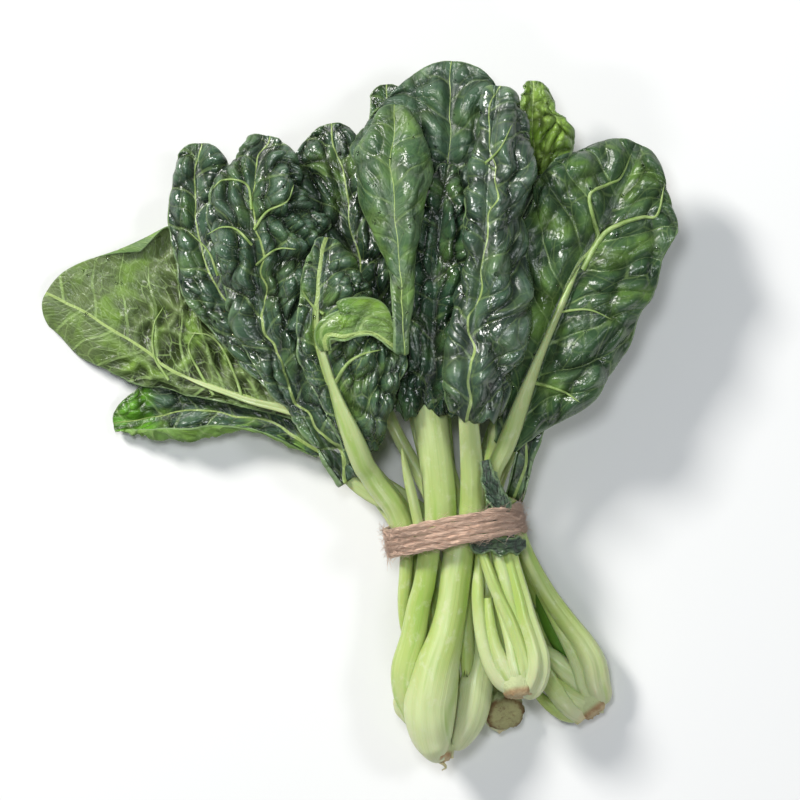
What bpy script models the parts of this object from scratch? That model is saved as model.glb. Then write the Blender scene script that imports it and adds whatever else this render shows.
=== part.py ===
"""A tied bunch of dark, crinkled chard lying on a table: four small heads of pale stalks, the leaf blades that
grow from them, and the jute twine that holds the stalks together.

Lengths in the tables are millimetres in the bunch's own frame: +X to the right, +Y from the cut ends towards the
leaf tips, +Z up from the table. The objects themselves are built in metres.
"""

import math
from dataclasses import dataclass

import bmesh
import bpy
import numpy as np
from mathutils import Vector

MM = 0.001
UP = np.array((0.0, 0.0, 1.0))

# The tie: a flattened ring round all the stalks, square to the bunch and 12 degrees off the X axis
TIE_CENTRE = np.array((37.2, -46.4, 23.0))
TIE_TILT = math.radians(12)
TIE_HALF_WIDTH = 25.8
TIE_HALF_HEIGHT = 19.4
TIE_SQUARENESS = 2.5
TWINE_DIAMETER = 2.2
TWINE_PITCH = 2.35
TWINE_TURNS = 5
TWINE_POINTS_PER_TURN = 24
TWINE_GAP = 0.5

TIE_ACROSS = np.array((math.cos(TIE_TILT), math.sin(TIE_TILT), 0.0))
TIE_ALONG = np.array((-math.sin(TIE_TILT), math.cos(TIE_TILT), 0.0))

# Stalks: a crescent section that is wide and wrapped in the bulb and slim in the midrib
BULB_THICKNESS = 6.0
BUTT_WIDTH_SHARE = 0.6
BULB_WRAP = 0.95
TIE_WRAP = 0.5
RIB_WRAP = 0.35
RIB_END = 0.8
RIB_END_WIDTH = 1.4
RIB_SLIM = 0.45
RIB_SLIM_SHARE = 0.25
RIB_END_THICKNESS = 1.3
STALK_STATIONS = 9
SECTION_OUTER = 5
SECTION_INNER = 3

# Blades: a thin sheet laid just clear of its midrib
BLADE_THICKNESS = 0.9
BLADE_GAP = 0.6
RIB_MARGIN = 0.7
BLADE_ROWS = 13
BLADE_COLUMNS = 4
CURL_STEPS = 24
CURL_POWER = 1.25

# Savoy crinkle between the side veins
SIDE_VEIN_SPACING = 15.0
SIDE_VEIN_SLOPE = 0.75
PUCKER_SIZE = 8.5

# Settling: each leaf is laid on those under it, on a grid of this cell size
CELL = 2.5
GRID_LOW = (-150.0, -160.0)
GRID_COUNT = (122, 128)
LEAF_CLEARANCE = 2.6
TABLE_CLEARANCE = 0.3
FREE_FROM = 8.0
FREE_TO = 36.0
MEMBRANE_PASSES = 160


@dataclass
class Head:
    """A crown of stalks: its cut butt, the middle of its bulb, how far the stalks stand from that middle
    across and up, and the radius of the stem at its heart."""

    butt: tuple
    bulb: tuple
    spread: tuple
    core: float


@dataclass
class Leaf:
    """One leaf. around and ring say where its stalk leaves the head, in degrees from the right and as a share of
    the head's spread; slot is (across the tie, height); stalk is (width in the bulb, width and thickness in the
    tie, width where the blade starts); half is the blade's left and right half width; curl is how far each
    margin has turned, in degrees, up positive; outline, where given, is the half widths of the left and right sides
    at even steps from the base to the tip; otherwise fullness moves the widest place of the blade up, and waist is the
    share of its width that is left low down; shift moves the slot along the bunch."""

    name: str
    head: str
    around: float
    ring: float
    slot: tuple
    stalk: tuple
    via: list
    rib: list
    half: tuple
    curl: tuple
    bank: float = 0.0
    outline: tuple = ()
    fullness: float = 1.0
    waist: float = 1.0
    base_share: float = 0.16
    ruffle: float = 18.0
    waves: float = 3.0
    pucker: float = 1.6
    rib_on_top: bool = False
    shift: float = 0.0
    seed: int = 1


HEADS = {
    "a": Head(butt=(32.5, -138.0, 22.5), bulb=(31.5, -112.0, 26.0), spread=(15.5, 11.5), core=7.5),
    "b": Head(butt=(64.0, -112.0, 33.5), bulb=(60.8, -96.0, 34.0), spread=(11.5, 8.5), core=5.5),
    "c": Head(butt=(92.0, -121.5, 7.5), bulb=(85.5, -105.0, 10.0), spread=(11.0, 9.0), core=5.5),
    "d": Head(butt=(59.5, -126.0, 6.5), bulb=(54.5, -113.0, 6.8), spread=(6.5, 5.0), core=6.5),
}

# From the bottom of the pile to the top
LEAVES = [
    Leaf("leaf_under_right", "c", 250, 0.9, (11.0, 8.5), (10, 7.5, 5.0, 5), [],
         [(58, 12, 4), (66, 62, 2), (74, 112, 1)], (19, 20), (16, -14), seed=1),
    Leaf("leaf_under_centre", "c", 170, 1.0, (2.3, 8.5), (10, 7.5, 5.0, 5), [],
         [(32, 14, 4), (25, 70, 2), (24, 120, 1)], (20, 19), (-14, 16), seed=2),
    Leaf("leaf_low_left", "d", 240, 0.9, (-6.0, 8.0), (8, 6.6, 5.0, 6), [],
         [(-17.6, -13.5, 8), (-38.8, -2.5, 7), (-66, 1, 4), (-98.5, -3.5, 2)],
         (14, 16), (120, 20), pucker=0.9, ruffle=8, outline=((3, 12, 15, 15, 15, 15, 9), (3, 12, 15, 16, 17, 16, 10)), seed=3),
    Leaf("leaf_wide_left", "d", 180, 1.0, (-14.3, 10.5), (9, 6.6, 5.0, 6), [],
         [(-13.0, -6, 12), (-48.8, 6.8, 13), (-76, 15.2, 12), (-97, 31, 10), (-126, 48.5, 7)],
         (12, 50), (-30, 10), fullness=1.15, pucker=1.4, ruffle=8, rib_on_top=True, outline=((2, 3, 3.5, 5, 11, 14, 9), (8, 30, 44, 49, 47, 39, 17)), seed=4),
    Leaf("leaf_edge_right", "c", 320, 1.0, (17.5, 12.0), (10, 6.6, 5.0, 5), [],
         [(67, -2, 9), (86, 34, 8), (101, 62, 6), (112, 84, 4)], (15, 11), (10, 10), fullness=1.5, waist=0.6, seed=5),
    Leaf("leaf_back_centre", "d", 80, 0.8, (-3.2, 15.5), (9, 6.6, 5.0, 5), [],
         [(19.2, 10, 14), (15.2, 66, 15), (9.5, 133, 14)], (14, 18), (14, 10), fullness=1.3, seed=6),
    Leaf("leaf_upper_left", "a", 245, 0.85, (-20.3, 18.0), (10, 6.6, 5.0, 5), [],
         [(-24.8, 2, 17), (-50.8, 40, 19), (-65, 72, 20), (-66, 109, 16)],
         (11, 21), (-25, -20), fullness=1.5, ruffle=18, outline=((2, 7, 11, 13, 13, 12, 7), (2, 10, 17, 21, 21, 17, 11)), seed=7),
    Leaf("leaf_back_left", "a", 45, 0.45, (-4.6, 24.5), (10, 6.6, 5.5, 5), [],
         [(9.2, 4, 22), (0, 54, 24), (-6.8, 86, 24), (-12, 117, 20)], (22, 18), (-10, -20), fullness=1.4,
         seed=8),
    Leaf("leaf_back_right", "b", 225, 0.8, (12.4, 25.0), (9, 5.6, 5.5, 5), [],
         [(61.2, 46, 25), (67.2, 86, 27), (71, 134, 27)], (14, 15), (30, 30), fullness=1.7, ruffle=40,
         waves=4, seed=9),
    Leaf("leaf_crossing_right", "b", 275, 0.85, (13.0, 20.6), (9, 6.0, 5.0, 5), [],
         [(56.0, 6, 23), (65.2, 50, 24), (74.4, 96, 24)], (14, 14), (14, 14), seed=10),
    Leaf("leaf_low_right", "c", 25, 0.9, (20.6, 18.3), (12, 5.6, 6.0, 5), [],
         [(62.0, -30, 22), (70, 6, 28), (86, 44, 32), (103, 74, 30)], (9, 13), (-20, -20), fullness=1.5, waist=0.6,
         seed=11),
    Leaf("leaf_tall_back", "a", 22, 1.0, (2.6, 25.5), (14, 7.5, 6.0, 6), [],
         [(29.2, 4, 27), (33, 62, 30), (35, 102, 32), (36.5, 140.5, 28)], (25, 31), (-25, -20),
         fullness=1.7, pucker=1.0, ruffle=10, outline=((3, 12, 20, 27, 31, 31, 20), (3, 12, 22, 28, 30, 28, 15)), seed=12),
    Leaf("leaf_wide_right", "b", 48, 1.0, (19.1, 28.5), (9, 6.6, 6.5, 7), [(52, -26, 31)],
         [(58.4, -10, 34), (71.2, 24, 37), (85.2, 56, 39), (99, 82, 38), (111, 108.5, 33)],
         (33, 36), (-30, -12), fullness=1.2, ruffle=12, pucker=1.6, rib_on_top=True, outline=((4, 14, 22, 27, 29, 29, 17), (4, 22, 28, 31, 33, 31, 15)), seed=13),
    Leaf("leaf_crinkled_left", "a", 290, 0.8, (-13.3, 19.0), (10, 7.5, 5.5, 6), [],
         [(-6.0, -24, 24), (-30.8, 20, 30), (-42.4, 61.2, 34), (-44, 86, 33), (-38.6, 111.5, 27)],
         (17, 28), (-45, -50), fullness=1.25, ruffle=26, waves=4, pucker=2.4, outline=((3, 5, 9, 14, 17, 17, 10), (5, 12, 21, 27, 31, 30, 16)), seed=14),
    Leaf("leaf_dark_centre", "a", 150, 1.0, (-6.4, 34.5), (14, 11.8, 6.5, 12), [],
         [(26.4, -8.4, 36), (28, 22, 37), (29.6, 58, 34), (34.4, 100, 30)], (17, 18), (-55, -55),
         fullness=0.6, base_share=0.75, ruffle=26, waves=4, pucker=2.4, outline=((13, 17, 17, 16, 15, 13, 8), (14, 18, 18, 17, 16, 14, 8)), seed=15),
    Leaf("leaf_front_left", "a", 208, 0.95, (-20.2, 27.5), (12, 9.4, 6.0, 11), [(4.5, -26, 31)],
         [(-1.0, -16, 34), (-16, 26, 40), (-16.8, 50, 41), (-14.5, 71, 37)], (8, 33), (-20, -40),
         fullness=0.85, ruffle=20, pucker=1.8, rib_on_top=True, outline=((4, 6, 8, 8, 8, 7, 4), (8, 24, 32, 32, 28, 20, 9)), seed=16),
    Leaf("leaf_smooth_centre", "a", 80, 0.5, (-14.1, 33.5), (8, 4.2, 4.5, 2.6), [(15.6, -10, 38)],
         [(15.6, 28, 42), (16, 58, 47), (12, 92, 50), (13.5, 123.5, 43)], (25, 27), (-95, -90),
         fullness=1.5, waist=0.4, ruffle=8, pucker=0.8, seed=17),
    Leaf("leaf_tall_right", "a", 100, 1.0, (6.4, 34.5), (19, 10.3, 6.5, 8), [],
         [(42.4, -1.2, 38), (43.5, 30, 44), (48.5, 66, 49), (50.5, 100, 50), (54, 131, 43)],
         (14, 33), (-90, -60), fullness=0.95, base_share=0.6, ruffle=16, waves=4, pucker=2.2, outline=((6, 11, 12, 12, 12, 11, 6), (14, 24, 27, 23, 23, 24, 13)), seed=18),
    Leaf("leaf_tucked", "b", 120, 0.9, (15.2, 33.5), (7, 3.8, 3.5, 3), [],
         [(55.2, -53.5, 33.9), (54.0, -44, 33.5), (52.2, -34, 35), (50.6, -22, 40)], (3.5, 5.5), (0, -20),
         bank=-16, fullness=0.8, base_share=0.9, ruffle=14, pucker=0.4, shift=-15.0, seed=19),
]


def smooth_path(knots, steps):
    """Catmull-Rom curve through the knots."""
    knots = np.array(knots, float)
    padded = np.vstack([2 * knots[0] - knots[1], knots, 2 * knots[-1] - knots[-2]])
    t = np.linspace(0, 1, steps, endpoint=False)[:, None]
    spans = [
        0.5 * (2 * b + (c - a) * t + (2 * a - 5 * b + 4 * c - d) * t**2 + (3 * b - a - 3 * c + d) * t**3)
        for a, b, c, d in zip(padded, padded[1:], padded[2:], padded[3:])
    ]
    return np.vstack(spans + [knots[-1:]])


def unit(vectors):
    return vectors / np.linalg.norm(vectors, axis=-1, keepdims=True)


def eased(x, knots, values):
    """Values at the knots, joined by smooth steps."""
    x = np.clip(x, knots[0], knots[-1])
    i = np.clip(np.searchsorted(knots, x, side="right") - 1, 0, len(knots) - 2)
    knots, values = np.array(knots, float), np.array(values, float)
    t = (x - knots[i]) / (knots[i + 1] - knots[i])
    t = t * t * (3 - 2 * t)
    t = t.reshape(t.shape + (1,) * (values.ndim - 1))
    return values[i] * (1 - t) + values[i + 1] * t


class Route:
    """The line of one leaf, from the cut butt through the bulb and the tie, up the midrib to the tip."""

    STEPS = 20

    def __init__(self, leaf):
        head = HEADS[leaf.head]
        butt, bulb = np.array(head.butt), np.array(head.bulb)
        across = unit(np.cross(bulb - butt, UP))
        angle = math.radians(leaf.around)
        wide, tall = head.spread
        reach = leaf.ring * (wide * math.cos(angle) * across + tall * math.sin(angle) * UP)
        self.outward = unit(math.cos(angle) / wide * across + math.sin(angle) / tall * UP)
        in_tie = TIE_CENTRE + TIE_ACROSS * leaf.slot[0] + TIE_ALONG * leaf.shift
        self.slot = np.array((in_tie[0], in_tie[1], leaf.slot[1]))
        knots = [butt + 0.35 * reach, bulb + reach, self.slot]
        self.points = smooth_path(knots + leaf.via + leaf.rib, self.STEPS)
        gaps = np.linalg.norm(np.diff(self.points, axis=0), axis=1)
        self.run = np.concatenate([[0.0], np.cumsum(gaps)])
        at_knot = self.run[:: self.STEPS]
        self.at_bulb, self.at_tie = at_knot[1], at_knot[2]
        self.at_base = at_knot[3 + len(leaf.via)]
        self.length = self.run[-1]
        self.at_rib_end = self.at_base + RIB_END * (self.length - self.at_base)
        self.top_side = leaf.slot[1] > TIE_CENTRE[2] - 4

    def place(self, run):
        return np.stack([np.interp(run, self.run, self.points[:, i]) for i in range(3)], axis=-1)

    def axes(self, run, bank=0.0):
        """Heading, rightward and upward directions along the route."""
        reach = 1.5
        ahead = unit(self.place(np.minimum(run + reach, self.length)) - self.place(np.maximum(run - reach, 0)))
        right = unit(np.cross(ahead, UP))
        above = np.cross(right, ahead)
        turn = math.radians(bank)
        return (
            ahead,
            math.cos(turn) * right + math.sin(turn) * above,
            math.cos(turn) * above - math.sin(turn) * right,
        )


def stalk_sizes(leaf, route, run):
    """Width, thickness and wrap of the stalk along its route."""
    bulb, tie, thick, base = leaf.stalk
    slim = route.at_base + RIB_SLIM * (route.at_rib_end - route.at_base)
    knots = [0, route.at_bulb, route.at_tie, route.at_base, slim, route.at_rib_end]
    above = RIB_END_WIDTH + RIB_SLIM_SHARE * (base - RIB_END_WIDTH)
    width = eased(run, knots, [BUTT_WIDTH_SHARE * bulb, bulb, tie, base, above, RIB_END_WIDTH])
    thickness = eased(
        run, knots, [BULB_THICKNESS, BULB_THICKNESS, thick, 0.6 * base + 0.8, 0.6 * above + 0.8, RIB_END_THICKNESS]
    )
    wrap = eased(run, knots, [BULB_WRAP, BULB_WRAP, TIE_WRAP, RIB_WRAP, RIB_WRAP, RIB_WRAP])
    return width, thickness, wrap


def stalk_rings(leaf, route, run, outer, inner):
    """Rings of points round the stalk: a crescent whose back faces out of the head."""
    width, thickness, wrap = (v[:, None] for v in stalk_sizes(leaf, route, run))
    back = np.linspace(-1, 1, outer)[None, :]
    front = np.linspace(0.85, -0.85, inner)[None, :]
    ripple = np.concatenate([-0.28 * back**4, -1 + 0.25 * front**2], axis=1)
    swing = np.concatenate([back, front], axis=1)
    side = 0.5 * width * np.sin(wrap * swing) / np.sin(wrap)
    depth = 0.5 * width * (np.cos(wrap * swing) - 1) / np.sin(wrap) + thickness * (0.5 + ripple)

    ahead, _, above = route.axes(run, leaf.bank)
    tie_out = UP * (1 if route.top_side else -1) + 0.6 * TIE_ACROSS * leaf.slot[0] / TIE_HALF_WIDTH
    facing = above * (1 if route.top_side else -1)
    share = eased(run, [0, route.at_bulb, route.at_tie, route.at_base], [0.0, 0.0, 1.0, 2.0])[:, None]
    out = np.where(
        share < 1,
        route.outward * (1 - share) + unit(tie_out) * share,
        unit(tie_out) * (2 - share) + facing * (share - 1),
    )
    out = unit(out - np.sum(out * ahead, axis=1, keepdims=True) * ahead)
    right = np.cross(ahead, out)
    centre = route.place(run)
    return centre[:, None] + side[..., None] * right[:, None] + depth[..., None] * out[:, None]


def scatter(ix, iy, seed):
    """A repeatable number from 0 to 1 for each cell of a lattice."""
    value = np.sin(ix * 127.1 + iy * 311.7 + seed * 74.7) * 43758.5453
    return value - np.floor(value)


def cell_domes(x, y, seed):
    """Rounded cells: 0 in the creases between them and about 1 at their middles."""
    ix, iy = np.floor(x), np.floor(y)
    nearest = np.full(x.shape, 9.0)
    second = np.full(x.shape, 9.0)
    for dx in (-1, 0, 1):
        for dy in (-1, 0, 1):
            cx, cy = ix + dx, iy + dy
            away = np.hypot(
                cx + 0.5 + 0.8 * (scatter(cx, cy, seed) - 0.5) - x,
                cy + 0.5 + 0.8 * (scatter(cx, cy, seed + 0.5) - 0.5) - y,
            )
            second = np.minimum(np.maximum(nearest, away), second)
            nearest = np.minimum(nearest, away)
    return np.sqrt(np.clip(second - nearest, 0, 1))


def crinkle(leaf, along, aside, share):
    """How far the blade puckers up from its smooth form, between side veins that slope towards the tip."""
    lean = along - SIDE_VEIN_SLOPE * np.abs(aside)
    vein = np.abs(np.sin(np.pi * lean / SIDE_VEIN_SPACING + leaf.seed)) ** 0.6
    domes = cell_domes(lean / PUCKER_SIZE, aside / PUCKER_SIZE, leaf.seed)
    edge = np.clip(share / 0.22, 0, 1) * (1 - 0.45 * share**3)
    height = leaf.pucker * edge * vein * (0.3 + 0.9 * domes)
    return -height if leaf.rib_on_top else height


def through(values, u):
    """A smooth curve through values at even steps of u from 0 to 1."""
    values = np.array(values, float)
    padded = np.concatenate([[2 * values[0] - values[1]], values, [2 * values[-1] - values[-2]]])
    place = np.clip(u, 0, 1) * (len(values) - 1)
    i = np.minimum(place.astype(int), len(values) - 2)
    t = place - i
    a, b, c, d = (padded[i + k] for k in range(4))
    return 0.5 * (2 * b + (c - a) * t + (2 * a - 5 * b + 4 * c - d) * t**2 + (3 * b - a - 3 * c + d) * t**3)


def blade_half_width(leaf, side, u):
    """Outline of one side of the blade: from its table, or narrow at the base, full above the middle, round at the
    tip."""
    if leaf.outline:
        width = through(leaf.outline[side], u)
    else:
        opening = np.clip(u / 0.6, 0, 1) ** 2 * (3 - 2 * np.clip(u / 0.6, 0, 1))
        full = np.clip(np.sin(np.pi * u**leaf.fullness), 0, 1) ** 0.55 * (leaf.waist + (1 - leaf.waist) * opening)
        base = leaf.base_share * (1 - u) ** 2
        width = leaf.half[side] * np.sqrt(full**2 + base**2 + (0.5 * u**8) ** 2)
    lobes = 1 + 0.05 * np.sin(11 * u + leaf.seed * 2.1 + side) + 0.03 * np.sin(27 * u + leaf.seed + 3 * side)
    return width * lobes


def blade_points(leaf, route, rows, columns):
    """The middle sheet of the blade: rows from base to tip, columns from the left margin to the right one."""
    u = np.linspace(0, 1, rows)
    run = route.at_base + u * (route.length - route.at_base)
    ahead, right, above = route.axes(run, leaf.bank)
    rib_width, rib_thickness, _ = stalk_sizes(leaf, route, run)
    root = rib_width / 2 + RIB_MARGIN
    clear = rib_thickness / 2 + BLADE_GAP + BLADE_THICKNESS / 2
    middle = route.place(run) + above * (clear * (-1 if leaf.rib_on_top else 1))[:, None]

    stride = CURL_STEPS // (columns - 1)
    share = np.linspace(0, 1, stride * (columns - 1) + 1)[None, :]
    halves = []
    for side, sign in ((0, -1), (1, 1)):
        reach = np.maximum(blade_half_width(leaf, side, u), root + 0.5)[:, None] - root[:, None]
        wave = np.sin(2 * np.pi * leaf.waves * u + leaf.seed * 1.7 + 2 * side)[:, None]
        angle = np.radians(leaf.curl[side]) * share**CURL_POWER + np.radians(leaf.ruffle) * wave * share**2
        step = reach * (share[:, 1:] - share[:, :-1])
        half_way = 0.5 * (angle[:, 1:] + angle[:, :-1])
        zero = np.zeros((rows, 1))
        out = root[:, None] + np.concatenate([zero, np.cumsum(np.cos(half_way) * step, axis=1)], axis=1)
        rise = np.concatenate([zero, np.cumsum(np.sin(half_way) * step, axis=1)], axis=1)
        aside = sign * (root[:, None] + reach * share)
        along = (run - route.at_base)[:, None] + 0 * share
        lift = crinkle(leaf, along, aside, share + 0 * aside)
        out = out - np.sin(angle) * lift
        rise = rise + np.cos(angle) * lift
        back = 0.2 * reach * share * (1 - u[:, None]) ** 5 - 0.75 * reach * share**2 * u[:, None] ** 8
        points = (
            middle[:, None]
            + sign * out[..., None] * right[:, None]
            + rise[..., None] * above[:, None]
            + back[..., None] * ahead[:, None]
        )
        points = points[:, ::stride]
        halves.append(points[:, ::-1] if side == 0 else points)
    return np.concatenate(halves, axis=1)


def cell_of(points):
    return tuple(
        np.clip(((points[..., i] - GRID_LOW[i]) / CELL).astype(int), 0, GRID_COUNT[i] - 1) for i in (0, 1)
    )


def neighbours(grid, join):
    """Each cell joined with the eight round it."""
    for axis in (0, 1):
        grid = join(join(grid, np.roll(grid, 1, axis)), np.roll(grid, -1, axis))
    return grid


def freedom():
    """0 below and in the tie, rising to 1 where the leaves are free to be lifted."""
    x = GRID_LOW[0] + (np.arange(GRID_COUNT[0]) + 0.5) * CELL
    y = GRID_LOW[1] + (np.arange(GRID_COUNT[1]) + 0.5) * CELL
    past = (x[:, None] - TIE_CENTRE[0]) * TIE_ALONG[0] + (y[None, :] - TIE_CENTRE[1]) * TIE_ALONG[1]
    t = np.clip((past - FREE_FROM) / (FREE_TO - FREE_FROM), 0, 1)
    return t * t * (3 - 2 * t)


def membrane(need, free):
    """The least smooth sheet that clears every needed height."""
    sheet = need.copy()
    for _ in range(MEMBRANE_PASSES):
        mean = 0.25 * (np.roll(sheet, 1, 0) + np.roll(sheet, -1, 0) + np.roll(sheet, 1, 1) + np.roll(sheet, -1, 1))
        sheet = np.maximum(need * free, mean) * (free > 0)
    for _ in range(2):
        sheet = neighbours(sheet, lambda a, b: 0.5 * (a + b))
    return sheet * np.minimum(1, 6 * free)


def settle():
    """Lays each leaf on the table and on those under it. It returns each leaf's route and its lift on the grid."""
    free = freedom()
    top = np.zeros(GRID_COUNT)
    laid = []
    for leaf in LEAVES:
        route = Route(leaf)
        sheet = blade_points(leaf, route, 61, 13).reshape(-1, 3)
        stalk_run = np.arange(route.at_tie, route.at_rib_end, 2.0)
        rings = stalk_rings(leaf, route, stalk_run, 7, 5).reshape(-1, 3)
        points = np.vstack([sheet - UP * BLADE_THICKNESS / 2, sheet + UP * BLADE_THICKNESS / 2, rings])
        low, high = np.full(GRID_COUNT, np.inf), np.full(GRID_COUNT, -np.inf)
        np.minimum.at(low, cell_of(points), points[:, 2])
        np.maximum.at(high, cell_of(points), points[:, 2])
        clearance = np.where(top > 0, LEAF_CLEARANCE, TABLE_CLEARANCE)
        need = np.where(np.isfinite(low), np.maximum(top + clearance - low, 0), 0)
        lift = membrane(neighbours(need, np.maximum), free)
        raised = np.where(np.isfinite(high), high + lift, 0)
        top = np.maximum(top, neighbours(raised, np.maximum))
        laid.append((leaf, route, lift))
    return laid


def lifted(points, lift):
    """The points raised by the lift under them, read between the middles of the cells."""
    x = np.clip((points[..., 0] - GRID_LOW[0]) / CELL - 0.5, 0, GRID_COUNT[0] - 1.001)
    y = np.clip((points[..., 1] - GRID_LOW[1]) / CELL - 0.5, 0, GRID_COUNT[1] - 1.001)
    ix, iy = x.astype(int), y.astype(int)
    fx, fy = x - ix, y - iy
    height = (
        lift[ix, iy] * (1 - fx) * (1 - fy)
        + lift[ix + 1, iy] * fx * (1 - fy)
        + lift[ix, iy + 1] * (1 - fx) * fy
        + lift[ix + 1, iy + 1] * fx * fy
    )
    return points + height[..., None] * UP


def make_material(name, colour, roughness):
    material = bpy.data.materials.new(name)
    material.use_nodes = True
    shader = material.node_tree.nodes["Principled BSDF"]
    shader.inputs["Base Color"].default_value = (*colour, 1.0)
    shader.inputs["Roughness"].default_value = roughness
    shader.inputs["Metallic"].default_value = 0.0
    return material


def make_object(name, mesh, material, collection):
    made = bpy.data.objects.new(name, mesh)
    mesh.materials.append(material)
    collection.objects.link(made)
    return made


def make_loft(name, rings, material, collection):
    """A closed body through rings of equal counts, with a flat cap at each end."""
    shape = bmesh.new()
    made = [[shape.verts.new(Vector(p) * MM) for p in ring] for ring in rings]
    for first, second in zip(made, made[1:]):
        for i in range(len(first)):
            j = (i + 1) % len(first)
            shape.faces.new((first[i], first[j], second[j], second[i]))
    shape.faces.new(made[0][::-1])
    shape.faces.new(made[-1])
    bmesh.ops.recalc_face_normals(shape, faces=shape.faces)
    bmesh.ops.triangulate(shape, faces=shape.faces)
    mesh = bpy.data.meshes.new(name)
    shape.to_mesh(mesh)
    shape.free()
    return make_object(name, mesh, material, collection)


def make_core(name, head, material, collection):
    """The short cut stem that the stalks of a head grow from."""
    butt, bulb = Vector(head.butt), Vector(head.bulb)
    ahead = (bulb - butt).normalized()
    length = 0.75 * (bulb - butt).length
    shape = bmesh.new()
    bmesh.ops.create_cone(
        shape, cap_ends=True, segments=12, radius1=head.core * 0.8 * MM, radius2=head.core * 1.05 * MM,
        depth=length * MM,
    )
    mesh = bpy.data.meshes.new(name)
    shape.to_mesh(mesh)
    shape.free()
    made = make_object(name, mesh, material, collection)
    made.rotation_mode = "QUATERNION"
    made.rotation_quaternion = Vector((0, 0, 1)).rotation_difference(ahead)
    made.location = (butt + ahead * (0.5 * length - 1.5)) * MM
    return made


def stalk_stations(route):
    """Stations up the stalk, then one at each row of the blade as far as the midrib runs."""
    low = np.linspace(0, route.at_bulb, 3)
    neck = np.linspace(route.at_bulb, route.at_tie, 4)[1:]
    fan = np.linspace(route.at_tie, route.at_base, STALK_STATIONS - 5)[1:]
    rows = np.linspace(route.at_base, route.length, BLADE_ROWS)[1:]
    return np.concatenate([low, neck, fan, rows[rows <= route.at_rib_end + 0.01]])


def make_head(letter, laid, material, parts, tools, table):
    """The stalks and midribs of one head, grown together at the butt, with the side that meets the table flat."""
    pieces = bpy.data.collections.new("stalks_of_" + letter)
    tools.children.link(pieces)
    for leaf, route, lift in laid:
        if leaf.head != letter:
            continue
        rings = stalk_rings(leaf, route, stalk_stations(route), SECTION_OUTER, SECTION_INNER)
        make_loft("stalk_of_" + leaf.name, lifted(rings, lift), material, pieces)
    core = make_core("stalks_" + letter, HEADS[letter], material, parts)
    join = core.modifiers.new("grown together", "BOOLEAN")
    join.operation, join.operand_type, join.solver = "UNION", "COLLECTION", "MANIFOLD"
    join.collection = pieces
    cut = core.modifiers.new("flat on the table", "BOOLEAN")
    cut.operation, cut.object, cut.solver = "DIFFERENCE", table, "MANIFOLD"
    apply_modifiers(core)
    for piece in list(pieces.objects):
        bpy.data.objects.remove(piece)
    return core


def drop_crumbs(shape):
    """Keeps the largest piece whose faces join edge to edge and drops any crumb left at the heart of the head."""
    unseen = set(shape.faces)
    pieces = []
    while unseen:
        piece, front = set(), [next(iter(unseen))]
        while front:
            face = front.pop()
            if face not in piece:
                piece.add(face)
                front.extend(link for edge in face.edges for link in edge.link_faces)
        unseen -= piece
        pieces.append(piece)
    keep = max(pieces, key=len)
    crumbs = [face for face in shape.faces if face not in keep]
    bmesh.ops.delete(shape, geom=crumbs, context="FACES")


def apply_modifiers(made):
    """Makes the evaluated mesh the object's own."""
    bpy.context.view_layer.update()
    graph = bpy.context.evaluated_depsgraph_get()
    mesh = bpy.data.meshes.new_from_object(made.evaluated_get(graph))
    shape = bmesh.new()
    shape.from_mesh(mesh)
    drop_crumbs(shape)
    shape.to_mesh(mesh)
    shape.free()
    made.modifiers.clear()
    made.data = mesh
    mesh.shade_smooth()
    mesh.set_sharp_from_angle(angle=math.radians(50))


def make_blade(leaf, route, lift, material, collection):
    """The blade as an open grid, split into triangles and given its thickness by Solidify."""
    points = lifted(blade_points(leaf, route, BLADE_ROWS, BLADE_COLUMNS), lift)
    rows, columns = points.shape[:2]
    shape = bmesh.new()
    bmesh.ops.create_grid(shape, x_segments=columns - 1, y_segments=rows - 1, size=1.0)
    for vertex, place in zip(shape.verts, points.reshape(-1, 3)):
        vertex.co = Vector(place) * MM
    bmesh.ops.triangulate(shape, faces=shape.faces)
    mesh = bpy.data.meshes.new(leaf.name)
    shape.to_mesh(mesh)
    shape.free()
    mesh.shade_smooth()
    blade = make_object(leaf.name, mesh, material, collection)
    sheet = blade.modifiers.new("thickness", "SOLIDIFY")
    sheet.thickness = BLADE_THICKNESS * MM
    sheet.offset = 0.0
    return blade


def tie_point(angle, shift, reach):
    """A point on the ring round the stalks, reach outside its inner line and shift along the bunch."""
    cosine, sine = math.cos(angle), math.sin(angle)
    power = 2 / TIE_SQUARENESS
    across = (TIE_HALF_WIDTH + reach) * math.copysign(abs(cosine) ** power, cosine)
    height = (TIE_HALF_HEIGHT + reach) * math.copysign(abs(sine) ** power, sine)
    return TIE_CENTRE + TIE_ACROSS * across + UP * height + TIE_ALONG * shift


def make_twine(material, collection):
    """One length of twine wound five times round the stalks, its turns side by side."""
    count = TWINE_TURNS * TWINE_POINTS_PER_TURN
    curve = bpy.data.curves.new("twine", "CURVE")
    curve.dimensions = "3D"
    curve.bevel_depth = TWINE_DIAMETER / 2 * MM
    curve.bevel_resolution = 2
    curve.use_fill_caps = True
    line = curve.splines.new("POLY")
    line.points.add(count)
    for i, point in enumerate(line.points):
        turns = i / TWINE_POINTS_PER_TURN
        shift = (turns - TWINE_TURNS / 2) * TWINE_PITCH
        place = tie_point(-2.2 + 2 * math.pi * turns, shift, TWINE_DIAMETER / 2 + TWINE_GAP)
        point.co = (*(place * MM), 1.0)
    curve.materials.append(material)
    twine = bpy.data.objects.new("twine", curve)
    collection.objects.link(twine)
    return twine


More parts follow.
